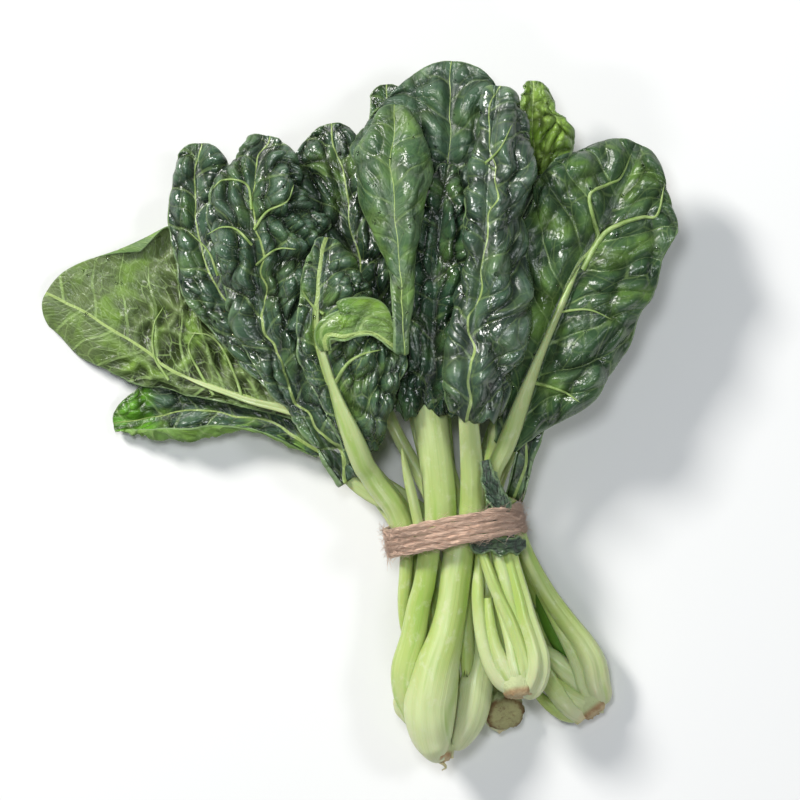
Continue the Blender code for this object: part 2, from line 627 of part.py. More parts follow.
def make_table_cutter(collection):
    """A block below the table's surface, which trims what lies on it flat."""
    shape = bmesh.new()
    bmesh.ops.create_cube(shape, size=0.4)
    mesh = bpy.data.meshes.new("below_table")
    shape.to_mesh(mesh)
    shape.free()
    cutter = bpy.data.objects.new("below_table", mesh)
    cutter.location = (0, 0, -0.2)
    cutter.hide_render = True
    cutter.display_type = "WIRE"
    collection.objects.link(cutter)
    return cutter


def main():
    for old in list(bpy.data.objects):
        bpy.data.objects.remove(old)
    parts = bpy.data.collections.new("bunch_of_chard")
    tools = bpy.data.collections.new("cutters")
    tools.hide_render = True
    for collection in (parts, tools):
        bpy.context.scene.collection.children.link(collection)
    stalk_green = make_material("stalk", (0.52, 0.66, 0.27), 0.4)
    leaf_green = make_material("leaf", (0.045, 0.13, 0.05), 0.35)
    jute = make_material("twine", (0.55, 0.36, 0.24), 0.9)
    laid = settle()
    table = make_table_cutter(tools)
    for letter in HEADS:
        make_head(letter, laid, stalk_green, parts, tools, table)
    for leaf, route, lift in laid:
        make_blade(leaf, route, lift, leaf_green, parts)
    make_twine(jute, parts)


main()
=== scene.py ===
"""The looks of a tied bunch of dark, crinkled chard lying on a table: leaf blades with their veins and
blisters, pale stalks grown together in small heads, the jute twine round them and the water left on the
leaves.

Lengths in the tables are millimetres in the bunch's own frame: +X to the right, +Y from the cut ends
towards the leaf tips, +Z up from the table. Objects are made in metres."""

import math
from dataclasses import dataclass

import bmesh
import bpy
import numpy as np
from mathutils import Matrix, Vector

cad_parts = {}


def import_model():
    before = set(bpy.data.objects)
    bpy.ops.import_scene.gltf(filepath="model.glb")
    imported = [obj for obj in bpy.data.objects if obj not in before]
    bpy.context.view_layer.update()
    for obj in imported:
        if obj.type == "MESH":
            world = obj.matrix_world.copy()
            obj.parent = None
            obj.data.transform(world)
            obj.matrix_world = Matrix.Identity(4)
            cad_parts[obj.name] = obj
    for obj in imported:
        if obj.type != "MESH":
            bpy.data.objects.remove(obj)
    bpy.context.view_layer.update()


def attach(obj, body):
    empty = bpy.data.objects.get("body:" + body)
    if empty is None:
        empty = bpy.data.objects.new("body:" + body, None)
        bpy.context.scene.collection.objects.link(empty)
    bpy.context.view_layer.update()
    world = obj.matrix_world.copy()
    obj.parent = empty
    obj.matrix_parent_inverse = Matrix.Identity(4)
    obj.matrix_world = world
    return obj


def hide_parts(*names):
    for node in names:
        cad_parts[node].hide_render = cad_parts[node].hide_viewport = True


MM = 0.001
UP = np.array((0.0, 0.0, 1.0))

# The tie: a flattened ring round all the stalks, square to the bunch and 12 degrees off the X axis
TIE_CENTRE = np.array((37.2, -46.4, 23.0))
TIE_TILT = math.radians(12)
TIE_HALF_WIDTH = 25.8
TIE_HALF_HEIGHT = 19.4
TIE_SQUARENESS = 2.5
TWINE_DIAMETER = 2.2
TWINE_PITCH = 2.35
TWINE_TURNS = 5
TWINE_GAP = 0.5

TIE_ACROSS = np.array((math.cos(TIE_TILT), math.sin(TIE_TILT), 0.0))
TIE_ALONG = np.array((-math.sin(TIE_TILT), math.cos(TIE_TILT), 0.0))

# Stalks: a crescent section that is wide and wrapped in the bulb and slim in the midrib
BULB_THICKNESS = 6.0
BUTT_WIDTH_SHARE = 0.6
BULB_WRAP = 0.95
TIE_WRAP = 0.5
RIB_WRAP = 0.35
RIB_END = 0.8
RIB_END_WIDTH = 1.4
RIB_SLIM = 0.45
RIB_SLIM_SHARE = 0.25
RIB_END_THICKNESS = 1.3
SECTION_POWER = 2.6

# Blades: a thin sheet laid just clear of its midrib
BLADE_THICKNESS = 0.6
BLADE_GAP = 0.35
RIB_MARGIN = 0.7
CURL_POWER = 1.25
MIN_COLUMNS = 24
MIN_REACH = 0.5
RIB_EDGE = 9.0

# Crinkle between the side veins
SIDE_VEIN_SPACING = 15.0
SIDE_VEIN_SLOPE = 0.75
SIDE_VEIN_BEND = 0.006
CELL_RANDOMNESS = 0.9
BUNCH_CREASE = 0.42
CELL_CREASE = 0.36
CALM_WIDTH = 0.2

# Settling: each leaf is laid on those under it, on a grid of this cell size
CELL = 2.5
GRID_LOW = (-150.0, -160.0)
GRID_COUNT = (122, 128)
LEAF_CLEARANCE = 0.4
TABLE_CLEARANCE = 0.3
FREE_FROM = 8.0
FREE_TO = 36.0
MEMBRANE_PASSES = 160
# How finely a stalk is looked at when it is laid
LAID_STEP = 1.5
LAID_SIDES = 16


@dataclass
class Head:
    """A crown of stalks: its cut butt, the middle of its bulb, and how far the stalks stand from that
    middle across and up."""

    butt: tuple
    bulb: tuple
    spread: tuple


@dataclass
class Leaf:
    """One leaf. around and ring say where its stalk leaves the head, in degrees from the right and as a
    share of the head's spread; slot is (across the tie, height); stalk is (width in the bulb, width and
    thickness in the tie, width where the blade starts); via and rib are the places that the stalk and the
    midrib pass; curl is how far each margin has turned, in degrees, up positive. outline is the half
    widths of the left and right sides at even steps from the base to the tip. A leaf without one has
    half, its left and right half width; fullness moves the widest place up, and waist and base_share are
    the shares of the width that are left low down and at the base. bank tips the blade, in degrees;
    ruffle is how far its margins wave, in degrees, and waves how often; shift moves the slot along the
    bunch."""

    name: str
    head: str
    around: float
    ring: float
    slot: tuple
    stalk: tuple
    via: list
    rib: list
    curl: tuple
    half: tuple = ()
    outline: tuple = ()
    bank: float = 0.0
    fullness: float = 1.0
    waist: float = 1.0
    base_share: float = 0.16
    ruffle: float = 18.0
    waves: float = 3.0
    rib_on_top: bool = False
    shift: float = 0.0
    seed: int = 1


HEADS = {
    "a": Head(butt=(32.5, -138.0, 22.5), bulb=(31.5, -112.0, 26.0), spread=(15.5, 11.5)),
    "b": Head(butt=(64.0, -112.0, 33.5), bulb=(60.8, -96.0, 34.0), spread=(11.5, 8.5)),
    "c": Head(butt=(92.0, -121.5, 7.5), bulb=(85.5, -105.0, 10.0), spread=(11.0, 9.0)),
    "d": Head(butt=(59.5, -126.0, 6.5), bulb=(54.5, -113.0, 6.8), spread=(6.5, 5.0)),
}

# From the bottom of the pile to the top
LEAVES = [
    Leaf(
        "leaf_under_right", "c", 250, 0.9, (11.0, 8.5), (10, 7.5, 5.0, 5), [],
        [(58, 12, 4), (66, 62, 2), (74, 112, 1)], (16, -14),
        half=(19, 20), seed=1,
    ),
    Leaf(
        "leaf_under_centre", "c", 170, 1.0, (2.3, 8.5), (10, 7.5, 5.0, 5), [],
        [(32, 14, 4), (25, 70, 2), (24, 120, 1)], (-14, 16),
        half=(20, 19), seed=2,
    ),
    Leaf(
        "leaf_low_left", "d", 240, 0.9, (-6.0, 8.0), (8, 6.6, 5.0, 6), [],
        [(-17.6, -13.5, 8), (-38.8, -2.5, 7), (-66, 1, 4), (-100.5, -3.8, 2)], (170, 20),
        outline=((4, 14, 20, 24, 24, 22, 13), (3, 12, 15, 16, 17, 16, 10)), ruffle=8, seed=3,
    ),
    Leaf(
        "leaf_wide_left", "d", 180, 1.0, (-14.3, 10.5), (9, 6.6, 5.0, 4.8), [],
        [(-13.0, -6, 12), (-48.8, 6.8, 13), (-76, 17.5, 12), (-101, 33.5, 10), (-127.5, 50, 7)], (-30, 10),
        outline=((2, 3, 4, 8, 14, 17, 12), (8, 30, 42, 43, 44, 51, 32)), ruffle=8, rib_on_top=True, seed=4,
    ),
    Leaf(
        "leaf_edge_right", "c", 320, 1.0, (17.5, 12.0), (10, 6.6, 5.0, 5), [],
        [(67, -2, 9), (86, 34, 8), (101, 62, 6), (112, 84, 4)], (10, 10),
        half=(15, 11), fullness=1.5, waist=0.6, seed=5,
    ),
    Leaf(
        "leaf_back_centre", "d", 80, 0.8, (-3.2, 15.5), (9, 6.6, 5.0, 5), [],
        [(19.2, 10, 14), (15.2, 66, 15), (9.5, 133, 14)], (14, 10),
        half=(14, 18), fullness=1.3, seed=6,
    ),
    Leaf(
        "leaf_upper_left", "a", 245, 0.85, (-20.3, 18.0), (10, 6.6, 5.0, 5), [],
        [(-24.8, 2, 17), (-50.8, 40, 19), (-65, 72, 20), (-66, 109, 16)], (-25, -20),
        outline=((2, 7, 11, 13, 13, 12, 7), (2, 10, 17, 21, 21, 17, 11)), ruffle=18, seed=7,
    ),
    Leaf(
        "leaf_back_left", "a", 45, 0.45, (-4.6, 24.5), (10, 6.6, 5.5, 5), [],
        [(9.2, 4, 22), (0, 54, 24), (-6.8, 86, 24), (-12, 117, 20)], (-10, -20),
        outline=((4, 14, 19, 21, 24, 26, 18), (4, 13, 17, 18, 17, 15, 8)), seed=8,
    ),
    Leaf(
        "leaf_back_right", "b", 225, 0.8, (12.4, 25.0), (9, 5.6, 5.5, 5), [],
        [(61.2, 46, 25), (67.2, 86, 27), (68.5, 134, 27)], (30, 20),
        outline=((5, 8, 10, 11, 11, 9, 5), (5, 8, 12, 14, 16, 16, 6)), ruffle=36, waves=4, seed=9,
    ),
    Leaf(
        "leaf_crossing_right", "b", 275, 0.85, (13.0, 20.6), (9, 6.0, 5.0, 5), [],
        [(56.0, 6, 23), (65.2, 50, 24), (74.4, 96, 24)], (14, 14),
        half=(14, 14), seed=10,
    ),
    Leaf(
        "leaf_low_right", "c", 25, 0.9, (20.6, 18.3), (12, 5.6, 6.0, 5), [],
        [(62.0, -30, 22), (70, 6, 28), (86, 44, 32), (103, 74, 30)], (-20, -20),
        half=(9, 13), fullness=1.5, waist=0.6, seed=11,
    ),
    Leaf(
        "leaf_tall_back", "a", 22, 1.0, (2.6, 25.5), (14, 7.5, 6.0, 6), [],
        [(29.2, 4, 27), (33, 62, 30), (35, 102, 32), (36.5, 141.5, 28)], (-25, -20),
        outline=((3, 12, 20, 27, 36, 39, 30), (3, 12, 22, 28, 33, 33, 22)), ruffle=10, seed=12,
    ),
    Leaf(
        "leaf_wide_right", "b", 48, 1.0, (19.1, 28.5), (9, 6.2, 6.0, 7.5), [(52, -26, 31)],
        [(58.4, -10, 34), (71.2, 24, 37), (85.2, 56, 39), (99, 82, 38), (111, 108.5, 33)], (-30, -12),
        outline=((4, 14, 22, 27, 30, 32, 24), (5, 25, 29, 30, 30, 28, 15)), ruffle=12, rib_on_top=True,
        seed=13,
    ),
    Leaf(
        "leaf_crinkled_left", "a", 290, 0.8, (-13.3, 19.0), (10, 7.5, 5.5, 6), [],
        [(-6.0, -24, 24), (-30.8, 20, 30), (-42.4, 61.2, 34), (-44, 86, 33), (-38.6, 111.5, 27)], (-45, -50),
        outline=((3, 5, 9, 14, 17, 17, 10), (5, 12, 21, 27, 31, 30, 16)), ruffle=26, waves=4, seed=14,
    ),
    Leaf(
        "leaf_dark_centre", "a", 150, 1.0, (-6.4, 34.5), (14, 13, 6.5, 14), [],
        [(26.4, 8, 36), (28, 22, 37), (29.6, 58, 34), (34.4, 100, 30)], (-55, -55),
        outline=((13, 17, 17, 16, 15, 11, 3), (14, 18, 18, 17, 16, 12, 3)), ruffle=26, waves=4, seed=15,
    ),
    Leaf(
        "leaf_front_left", "a", 208, 0.95, (-20.2, 27.5), (12, 9.4, 6.0, 9), [(4.5, -26, 31)],
        [(-1.0, -16, 34), (-16, 26, 39.5), (-16.8, 50, 40), (-14.5, 71, 36)], (-20, -40),
        outline=((4, 6, 8, 8, 8, 7, 4), (8, 24, 32, 32, 28, 20, 9)), ruffle=20, rib_on_top=True, seed=16,
    ),
    Leaf(
        "leaf_flap", "a", 208, 0.95, (-20.2, 27.5), (3, 2, 2, 1.6), [(4.5, -26, 31)],
        [(-14, 26, 44), (-6, 32, 45), (4, 34, 45), (13.5, 27, 43)], (0, -20),
        outline=((2, 6, 12, 14, 11, 6, 1), (1, 2, 2.5, 2.5, 2.5, 2, 1)), ruffle=8, seed=21,
    ),
    Leaf(
        "leaf_smooth_centre", "a", 80, 0.5, (-14.1, 33.5), (8, 4.2, 4.5, 2.6), [(15.6, -10, 38)],
        [(15.6, 28, 40), (16, 58, 44), (12, 92, 46), (13.5, 123.5, 41)], (-60, -60),
        outline=((1.8, 3.8, 6.2, 11.3, 16.2, 15.3, 6), (1.8, 3.8, 6.5, 12, 17, 16, 6)), ruffle=8, seed=17,
    ),
    Leaf(
        "leaf_tall_right", "a", 100, 1.0, (6.4, 34.5), (19, 10.3, 6.5, 8), [],
        [(42.4, 3.5, 37), (43.5, 30, 42), (48.5, 66, 45), (50.5, 100, 45.5), (54, 131, 41)], (-90, -60),
        outline=((7, 9, 9, 8, 7, 6.5, 5), (13, 23, 26, 20, 20, 21, 12)), ruffle=16, waves=4, seed=18,
    ),
    Leaf(
        "leaf_tucked", "b", 120, 0.9, (15.2, 33.5), (7, 3.8, 3.5, 3), [],
        [(55.2, -53.5, 33.9), (54.0, -44, 33.5), (52.2, -34, 35), (50.6, -22, 40)], (0, -20),
        half=(3.5, 5.5), fullness=0.8, base_share=0.9, bank=-16, ruffle=14, shift=-15.0, seed=19,
    ),
    Leaf(
        "leaf_torn_high", "b", 120, 0.9, (15.2, 33.5), (3, 2, 2, 1.6), [],
        [(55, -36.5, 37.5), (53, -31, 38.5), (50.5, -25, 39), (49, -18, 38)], (-25, -50),
        outline=((4, 3.5, 4, 3, 3, 2, 1), (4, 4, 3, 3, 2.5, 2, 1)), ruffle=25, seed=22,
    ),
    Leaf(
        "leaf_torn_low", "b", 120, 0.9, (15.2, 33.5), (3, 2, 2, 1.6), [],
        [(46, -51.5, 38), (52, -52, 38.4), (58, -52, 37.4), (64.5, -51.5, 32)], (0, -45),
        outline=((3, 3, 3, 3, 3, 3, 1), (1.5, 3.2, 2, 4, 2.5, 4, 1)), ruffle=25, seed=23,
    ),
]

# Loose scraps of leaf that have no stalk of their own
SCRAPS = ("leaf_flap", "leaf_torn_high", "leaf_torn_low")


@dataclass
class Look:
    """How one blade looks. grid is the distance between its points. The crinkle has four layers, each
    with its height in millimetres: bunch, the deep folds of bunch_size (across, along); bulge, the
    swelling between side veins; blister, the cells between the fine veins, of cell size (across, along);
    and fold, the broad undulation. tone and light are the colours between the veins, young how much of it
    is yellow-green, and under the colour of its underside; vein is how pale the net of veins is and rib
    how much of the stalk's width shows on the blade; sway bends the drawn midrib; gloss is the roughness
    and shine the specular level; ragged is how far its lobes hang over the stalk; dusk is the brightness
    of the painted shade in its deep creases, and a sunken one has pits between raised veins, with the
    painted shade in the pits. The rest are shares of its length: the raised midrib ends at rib_end and the
    drawn one at rib_to, painted shade darkens it below dim_below, it shows its underside past turned_from,
    and past calm_from the crinkle fades."""

    grid: float = 0.85
    bunch: float = 4.0
    bunch_size: tuple = (9.5, 20.0)
    bulge: float = 1.0
    blister: float = 1.5
    cell: tuple = (6.0, 8.0)
    fold: float = 3.0
    fold_size: tuple = (14.0, 26.0)
    tone: tuple = (0.027, 0.061, 0.036)
    light: tuple = (0.064, 0.114, 0.066)
    young: float = 0.12
    vein: float = 0.35
    rib: float = 0.22
    sway: float = 1.4
    gloss: float = 0.18
    ragged: float = 3.0
    rib_end: float = 0.8
    rib_to: float = 1.0
    # dim_below: the blade is darkened with painted shade below this share of its length
    dim_below: float = 0.0
    turned_from: float = 2.0
    # dusk: the brightness of the painted shade in the deep creases
    dusk: float = 0.30
    shine: float = 0.75
    sunken: bool = False
    calm_from: float = 2.0
    under: tuple = (0.10, 0.175, 0.055)


HIDDEN = Look(grid=2.0, bunch=1.5, bulge=0.5, blister=0.8, fold=1.5)
LOOKS = {
    "leaf_low_left": Look(
        grid=0.9, bunch=1.5, bunch_size=(12, 18), young=0.45, vein=0.4, under=(0.15, 0.27, 0.06),
        turned_from=0.78, shine=0.5,
    ),
    "leaf_wide_left": Look(
        bunch=4.2, bunch_size=(13, 13), bulge=1.2, blister=1.1, cell=(6, 8), fold=2.6, fold_size=(20, 26),
        tone=(0.076, 0.118, 0.036), light=(0.14, 0.188, 0.07), young=0.45, vein=0.85, rib=0.4, gloss=0.27,
        rib_end=0.5, shine=0.35, dusk=0.22, sunken=True, calm_from=0.62,
    ),
    "leaf_edge_right": Look(grid=1.6, bunch=2.0),
    "leaf_back_centre": Look(grid=1.5, bunch=2.0, tone=(0.035, 0.085, 0.03)),
    "leaf_upper_left": Look(bunch=3.5, bunch_size=(9, 15), fold=3.5, fold_size=(12, 22), young=0.15),
    "leaf_back_left": Look(
        bunch=4.0, bunch_size=(9, 14), fold=3.5, fold_size=(13, 20), tone=(0.013, 0.034, 0.018),
        light=(0.045, 0.085, 0.045), young=0.25,
    ),
    "leaf_back_right": Look(
        grid=0.7, bunch=4.5, bunch_size=(7, 8), blister=2.0, cell=(4, 4.5), fold=4.0, fold_size=(9, 12),
        tone=(0.1, 0.19, 0.03), light=(0.24, 0.36, 0.07), young=0.8, vein=0.5, dusk=0.55, shine=0.5,
    ),
    "leaf_crossing_right": Look(grid=1.5, bunch=2.5, tone=(0.014, 0.04, 0.02)),
    "leaf_low_right": Look(grid=1.3, bunch=2.5),
    # Painted shade darkens its lower part, below dim_below
    "leaf_tall_back": Look(
        grid=1.0, bunch=3.4, bunch_size=(14, 17), bulge=0.8, blister=1.0, cell=(8, 9), fold=3.5,
        tone=(0.025, 0.059, 0.032), vein=0.2, gloss=0.26, shine=0.5, rib=0.12, dim_below=0.68, dusk=0.55,
    ),
    "leaf_wide_right": Look(
        bunch=3.0, bunch_size=(16, 20), bulge=2.4, blister=0.9, cell=(10, 13), fold=4.5, fold_size=(18, 26),
        tone=(0.028, 0.065, 0.028), light=(0.058, 0.108, 0.045), young=0.25, vein=0.4, rib=0.35,
        rib_end=0.58, rib_to=0.68, dusk=0.62, shine=0.5,
    ),
    "leaf_crinkled_left": Look(
        grid=0.75, bunch=7.5, bunch_size=(8.5, 24), bulge=0.8, blister=2.0, cell=(5, 8), fold=4.0,
        fold_size=(11, 24), vein=0.35, sway=3.4,
    ),
    # Its very dark tone and light are partly its own dark green and partly painted shade, for it lies under
    # leaf_smooth_centre and leaf_tall_right
    "leaf_dark_centre": Look(
        grid=0.75, bunch=5.0, bunch_size=(7, 20), bulge=0.4, blister=1.6, cell=(4.5, 7), fold=3.0,
        fold_size=(8, 20), tone=(0.01, 0.03, 0.016), light=(0.028, 0.066, 0.034), vein=0.2, rib=0.001,
        gloss=0.12, ragged=7.0,
    ),
    "leaf_front_left": Look(
        grid=0.75, bunch=4.5, bunch_size=(9, 14), bulge=1.6, blister=1.8, cell=(5.5, 7), fold=3.0,
        fold_size=(13, 20), tone=(0.027, 0.064, 0.03), young=0.3, vein=0.6, rib=0.6, rib_end=0.7, dusk=0.4,
    ),
    "leaf_smooth_centre": Look(
        bunch=2.0, bunch_size=(15, 20), bulge=0.3, blister=0.7, cell=(7, 9), fold=3.2, fold_size=(14, 34),
        tone=(0.034, 0.082, 0.033), light=(0.09, 0.15, 0.07), young=0.25, vein=0.3, rib=0.12, gloss=0.25,
        shine=0.5, dusk=0.7,
    ),
    "leaf_tall_right": Look(
        grid=0.75, bunch=5.4, bunch_size=(17, 27), bulge=1.4, blister=1.3, cell=(8, 13), fold=4.6,
        fold_size=(14, 24), tone=(0.031, 0.067, 0.04), light=(0.07, 0.12, 0.074), vein=0.35, rib=0.16,
        sway=3.2, ragged=6.0, dusk=0.4, shine=0.9, gloss=0.2,
    ),
    "leaf_flap": Look(
        grid=0.5, bunch=1.0, bunch_size=(7, 8), bulge=0.6, blister=0.8, cell=(3.5, 4.5), fold=1.6,
        fold_size=(7, 9), tone=(0.068, 0.145, 0.028), light=(0.15, 0.25, 0.06), young=0.5, vein=0.9, rib=0.6,
        ragged=0.5, dusk=0.75, shine=0.4,
    ),
    "leaf_torn_high": Look(
        grid=0.4, bunch=2.2, bunch_size=(2.5, 4), blister=0.8, cell=(1.8, 2.2), fold=1.4, fold_size=(3, 5),
        tone=(0.012, 0.04, 0.018), rib=0.001, vein=0.05,
    ),
    "leaf_torn_low": Look(
        grid=0.4, bunch=1.6, bunch_size=(2.2, 3), blister=0.7, cell=(1.6, 1.8), fold=0.8, fold_size=(3, 4),
        tone=(0.012, 0.04, 0.018), rib=0.001, vein=0.05,
    ),
    "leaf_tucked": Look(
        bunch=2.4, bunch_size=(4, 8), blister=0.8, cell=(3, 4), fold=1.5, fold_size=(5, 10),
        tone=(0.014, 0.045, 0.02), rib=0.2,
    ),
}


def spline(a, b, c, d, t):
    """The place t of the way from b to c, on a smooth curve through all four."""
    return 0.5 * (2 * b + (c - a) * t + (2 * a - 5 * b + 4 * c - d) * t**2 + (3 * b - a - 3 * c + d) * t**3)


def smooth_path(knots, steps):
    """A smooth curve through the knots."""
    knots = np.array(knots, float)
    padded = np.vstack([2 * knots[0] - knots[1], knots, 2 * knots[-1] - knots[-2]])
    t = np.linspace(0, 1, steps, endpoint=False)[:, None]
    spans = [spline(a, b, c, d, t) for a, b, c, d in zip(padded, padded[1:], padded[2:], padded[3:])]
    return np.vstack(spans + [knots[-1:]])


def through(values, u):
    """A smooth curve through values at even steps of u from 0 to 1."""
    values = np.array(values, float)
    padded = np.concatenate([[2 * values[0] - values[1]], values, [2 * values[-1] - values[-2]]])
    place = np.clip(u, 0, 1) * (len(values) - 1)
    i = np.minimum(place.astype(int), len(values) - 2)
    return spline(*(padded[i + k] for k in range(4)), place - i)


def unit(vectors):
    return vectors / np.linalg.norm(vectors, axis=-1, keepdims=True)


def lengths_along(line):
    """The distance of each point of a line from its start."""
    return np.concatenate([[0.0], np.cumsum(np.linalg.norm(np.diff(line, axis=0), axis=1))])


def full_turn(count):
    """Angles at even steps round a ring, as one row."""
    return np.linspace(0, 2 * np.pi, count, endpoint=False)[None, :]


def off_line(line, *moves):
    """Rings of points off a line. Each move is a distance for each point and a direction for each ring."""
    rings = line[:, None]
    for distance, direction in moves:
        rings = rings + distance[..., None] * direction[:, None]
    return rings


def crescent(width, wrap, swing):
    """The middle line of a crescent section at each swing from -1 to 1: how far aside and outward it is."""
    aside = 0.5 * width * np.sin(wrap * swing) / np.sin(wrap)
    return aside, 0.5 * width * (np.cos(wrap * swing) - 1) / np.sin(wrap)


def smoothed(t):
    return t * t * (3 - 2 * t)


def smooth_step(x, low, high):
    return smoothed(np.clip((x - low) / (high - low), 0, 1))


def eased(x, knots, values):
    """Values at the knots, joined by smooth steps."""
    x = np.clip(x, knots[0], knots[-1])
    i = np.clip(np.searchsorted(knots, x, side="right") - 1, 0, len(knots) - 2)
    knots, values = np.array(knots, float), np.array(values, float)
    t = smoothed((x - knots[i]) / (knots[i + 1] - knots[i]))
    t = t.reshape(t.shape + (1,) * (values.ndim - 1))
    return values[i] * (1 - t) + values[i + 1] * t


class Route:
    """The line of one leaf, from the cut butt through the bulb and the tie, up the midrib to the tip."""

    STEPS = 20

    def __init__(self, leaf):
        head = HEADS[leaf.head]
        butt, bulb = np.array(head.butt), np.array(head.bulb)
        across = unit(np.cross(bulb - butt, UP))
        angle = math.radians(leaf.around)
        wide, tall = head.spread
        reach = leaf.ring * (wide * math.cos(angle) * across + tall * math.sin(angle) * UP)
        self.outward = unit(math.cos(angle) / wide * across + math.sin(angle) / tall * UP)
        in_tie = TIE_CENTRE + TIE_ACROSS * leaf.slot[0] + TIE_ALONG * leaf.shift
        self.slot = np.array((in_tie[0], in_tie[1], leaf.slot[1]))
        knots = [butt + 0.35 * reach, bulb + reach, self.slot]
        self.points = smooth_path(knots + leaf.via + leaf.rib, self.STEPS)
        self.run = lengths_along(self.points)
        at_knot = self.run[:: self.STEPS]
        self.at_bulb, self.at_tie = at_knot[1], at_knot[2]
        self.at_base = at_knot[3 + len(leaf.via)]
        self.length = self.run[-1]
        self.at_rib_end = self.at_base + RIB_END * (self.length - self.at_base)
        self.top_side = leaf.slot[1] > TIE_CENTRE[2] - 4

    def place(self, run):
        return np.stack([np.interp(run, self.run, self.points[:, i]) for i in range(3)], axis=-1)

    def axes(self, run, bank=0.0):
        """Heading, rightward and upward directions along the route."""
        reach = 1.5
        before, after = np.maximum(run - reach, 0), np.minimum(run + reach, self.length)
        ahead = unit(self.place(after) - self.place(before))
        right = unit(np.cross(ahead, UP))
        above = np.cross(right, ahead)
        turn = math.radians(bank)
        return (
            ahead,
            math.cos(turn) * right + math.sin(turn) * above,
            math.cos(turn) * above - math.sin(turn) * right,
        )


def stalk_sizes(leaf, route, run):
    """Width, thickness and wrap of the stalk along its route."""
    bulb, tie, thick, base = leaf.stalk
    slim = route.at_base + RIB_SLIM * (route.at_rib_end - route.at_base)
    knots = [0, route.at_bulb, route.at_tie, route.at_base, slim, route.at_rib_end]
    above = RIB_END_WIDTH + RIB_SLIM_SHARE * (base - RIB_END_WIDTH)
    width = eased(run, knots, [BUTT_WIDTH_SHARE * bulb, bulb, tie, base, above, RIB_END_WIDTH])
    ribs = [0.6 * base + 0.8, 0.6 * above + 0.8, RIB_END_THICKNESS]
    thickness = eased(run, knots, [BULB_THICKNESS, BULB_THICKNESS, thick, *ribs])
    wrap = eased(run, knots, [BULB_WRAP, BULB_WRAP, TIE_WRAP, RIB_WRAP, RIB_WRAP, RIB_WRAP])
    return width, thickness, wrap


def blade_half_width(leaf, side, u):
    """Outline of one side of the blade: from its table, or narrow at the base, full above the middle,
    round at the tip."""
    if leaf.outline:
        width = through(leaf.outline[side], u)
    else:
        opening = smooth_step(u, 0, 0.6)
        full = np.clip(np.sin(np.pi * u**leaf.fullness), 0, 1) ** 0.55
        full = full * (leaf.waist + (1 - leaf.waist) * opening)
        base = leaf.base_share * (1 - u) ** 2
        width = leaf.half[side] * np.sqrt(full**2 + base**2 + (0.5 * u**8) ** 2)
    lobes = 1 + 0.05 * np.sin(11 * u + leaf.seed * 2.1 + side) + 0.03 * np.sin(27 * u + leaf.seed + 3 * side)
    return width * lobes


def scatter(ix, iy, seed):
    """A repeatable number from 0 to 1 for each cell of a lattice."""
    value = np.sin(ix * 127.1 + iy * 311.7 + seed * 74.7) * 43758.5453
    return value - np.floor(value)


def value_noise(x, y, seed):
    """Smooth noise from -1 to 1 over a lattice of unit cells."""
    ix, iy = np.floor(x), np.floor(y)
    fx, fy = smoothed(x - ix), smoothed(y - iy)
    low = scatter(ix, iy, seed) * (1 - fx) + scatter(ix + 1, iy, seed) * fx
    high = scatter(ix, iy + 1, seed) * (1 - fx) + scatter(ix + 1, iy + 1, seed) * fx
    return 2 * (low * (1 - fy) + high * fy) - 1


def line_noise(x, seed):
    """The same along one row of the lattice."""
    return value_noise(x, 0 * x, seed)


def make_cell_reader():
    """A node group that reads, for each point of a mesh, how far it is from the nearest edge between
    cells."""
    tree = bpy.data.node_groups.new("cell_reader", "GeometryNodeTree")
    for side in ("INPUT", "OUTPUT"):
        tree.interface.new_socket("Geometry", in_out=side, socket_type="NodeSocketGeometry")
    nodes, links = tree.nodes, tree.links
    start, end = nodes.new("NodeGroupInput"), nodes.new("NodeGroupOutput")
    place = nodes.new("GeometryNodeInputPosition")
    cells = nodes.new("ShaderNodeTexVoronoi")
    cells.voronoi_dimensions, cells.feature = "2D", "DISTANCE_TO_EDGE"
    cells.inputs["Scale"].default_value = 1.0
    cells.inputs["Randomness"].default_value = CELL_RANDOMNESS
    store = nodes.new("GeometryNodeStoreNamedAttribute")
    store.data_type, store.domain = "FLOAT", "POINT"
    store.inputs["Name"].default_value = "to_edge"
    links.new(place.outputs["Position"], cells.inputs["Vector"])
    links.new(start.outputs[0], store.inputs["Geometry"])
    links.new(cells.outputs["Distance"], store.inputs["Value"])
    links.new(store.outputs["Geometry"], end.inputs[0])
    return tree


def cell_edge_distance(x, y, reader):
    """Distance to the nearest edge between cells, in cells, at each place. It is the pattern that the
    blades' material draws its fine veins with."""
    points = np.zeros((x.size, 3), np.float32)
    points[:, 0], points[:, 1] = x.ravel(), y.ravel()
    mesh = bpy.data.meshes.new("reader")
    mesh.vertices.add(x.size)
    mesh.vertices.foreach_set("co", points.ravel())
    carrier = bpy.data.objects.new("reader", mesh)
    bpy.context.scene.collection.objects.link(carrier)
    carrier.modifiers.new("cells", "NODES").node_group = reader
    graph = bpy.context.evaluated_depsgraph_get()
    read = carrier.evaluated_get(graph).data
    distance = np.zeros(x.size, np.float32)
    read.attributes["to_edge"].data.foreach_get("value", distance)
    bpy.data.objects.remove(carrier)
    bpy.data.meshes.remove(mesh)
    return distance.reshape(x.shape).astype(float)


def pillow(distance, reach):
    """0 in a crease, rising steeply and then levelling off at 1."""
    return 1 - (1 - np.clip(distance / reach, 0, 1)) ** 2


@dataclass
class Sheet:
    """The middle of one blade: its points, and what its material reads at each of them."""

    points: np.ndarray
    place: np.ndarray
    veins: np.ndarray
    spot: np.ndarray


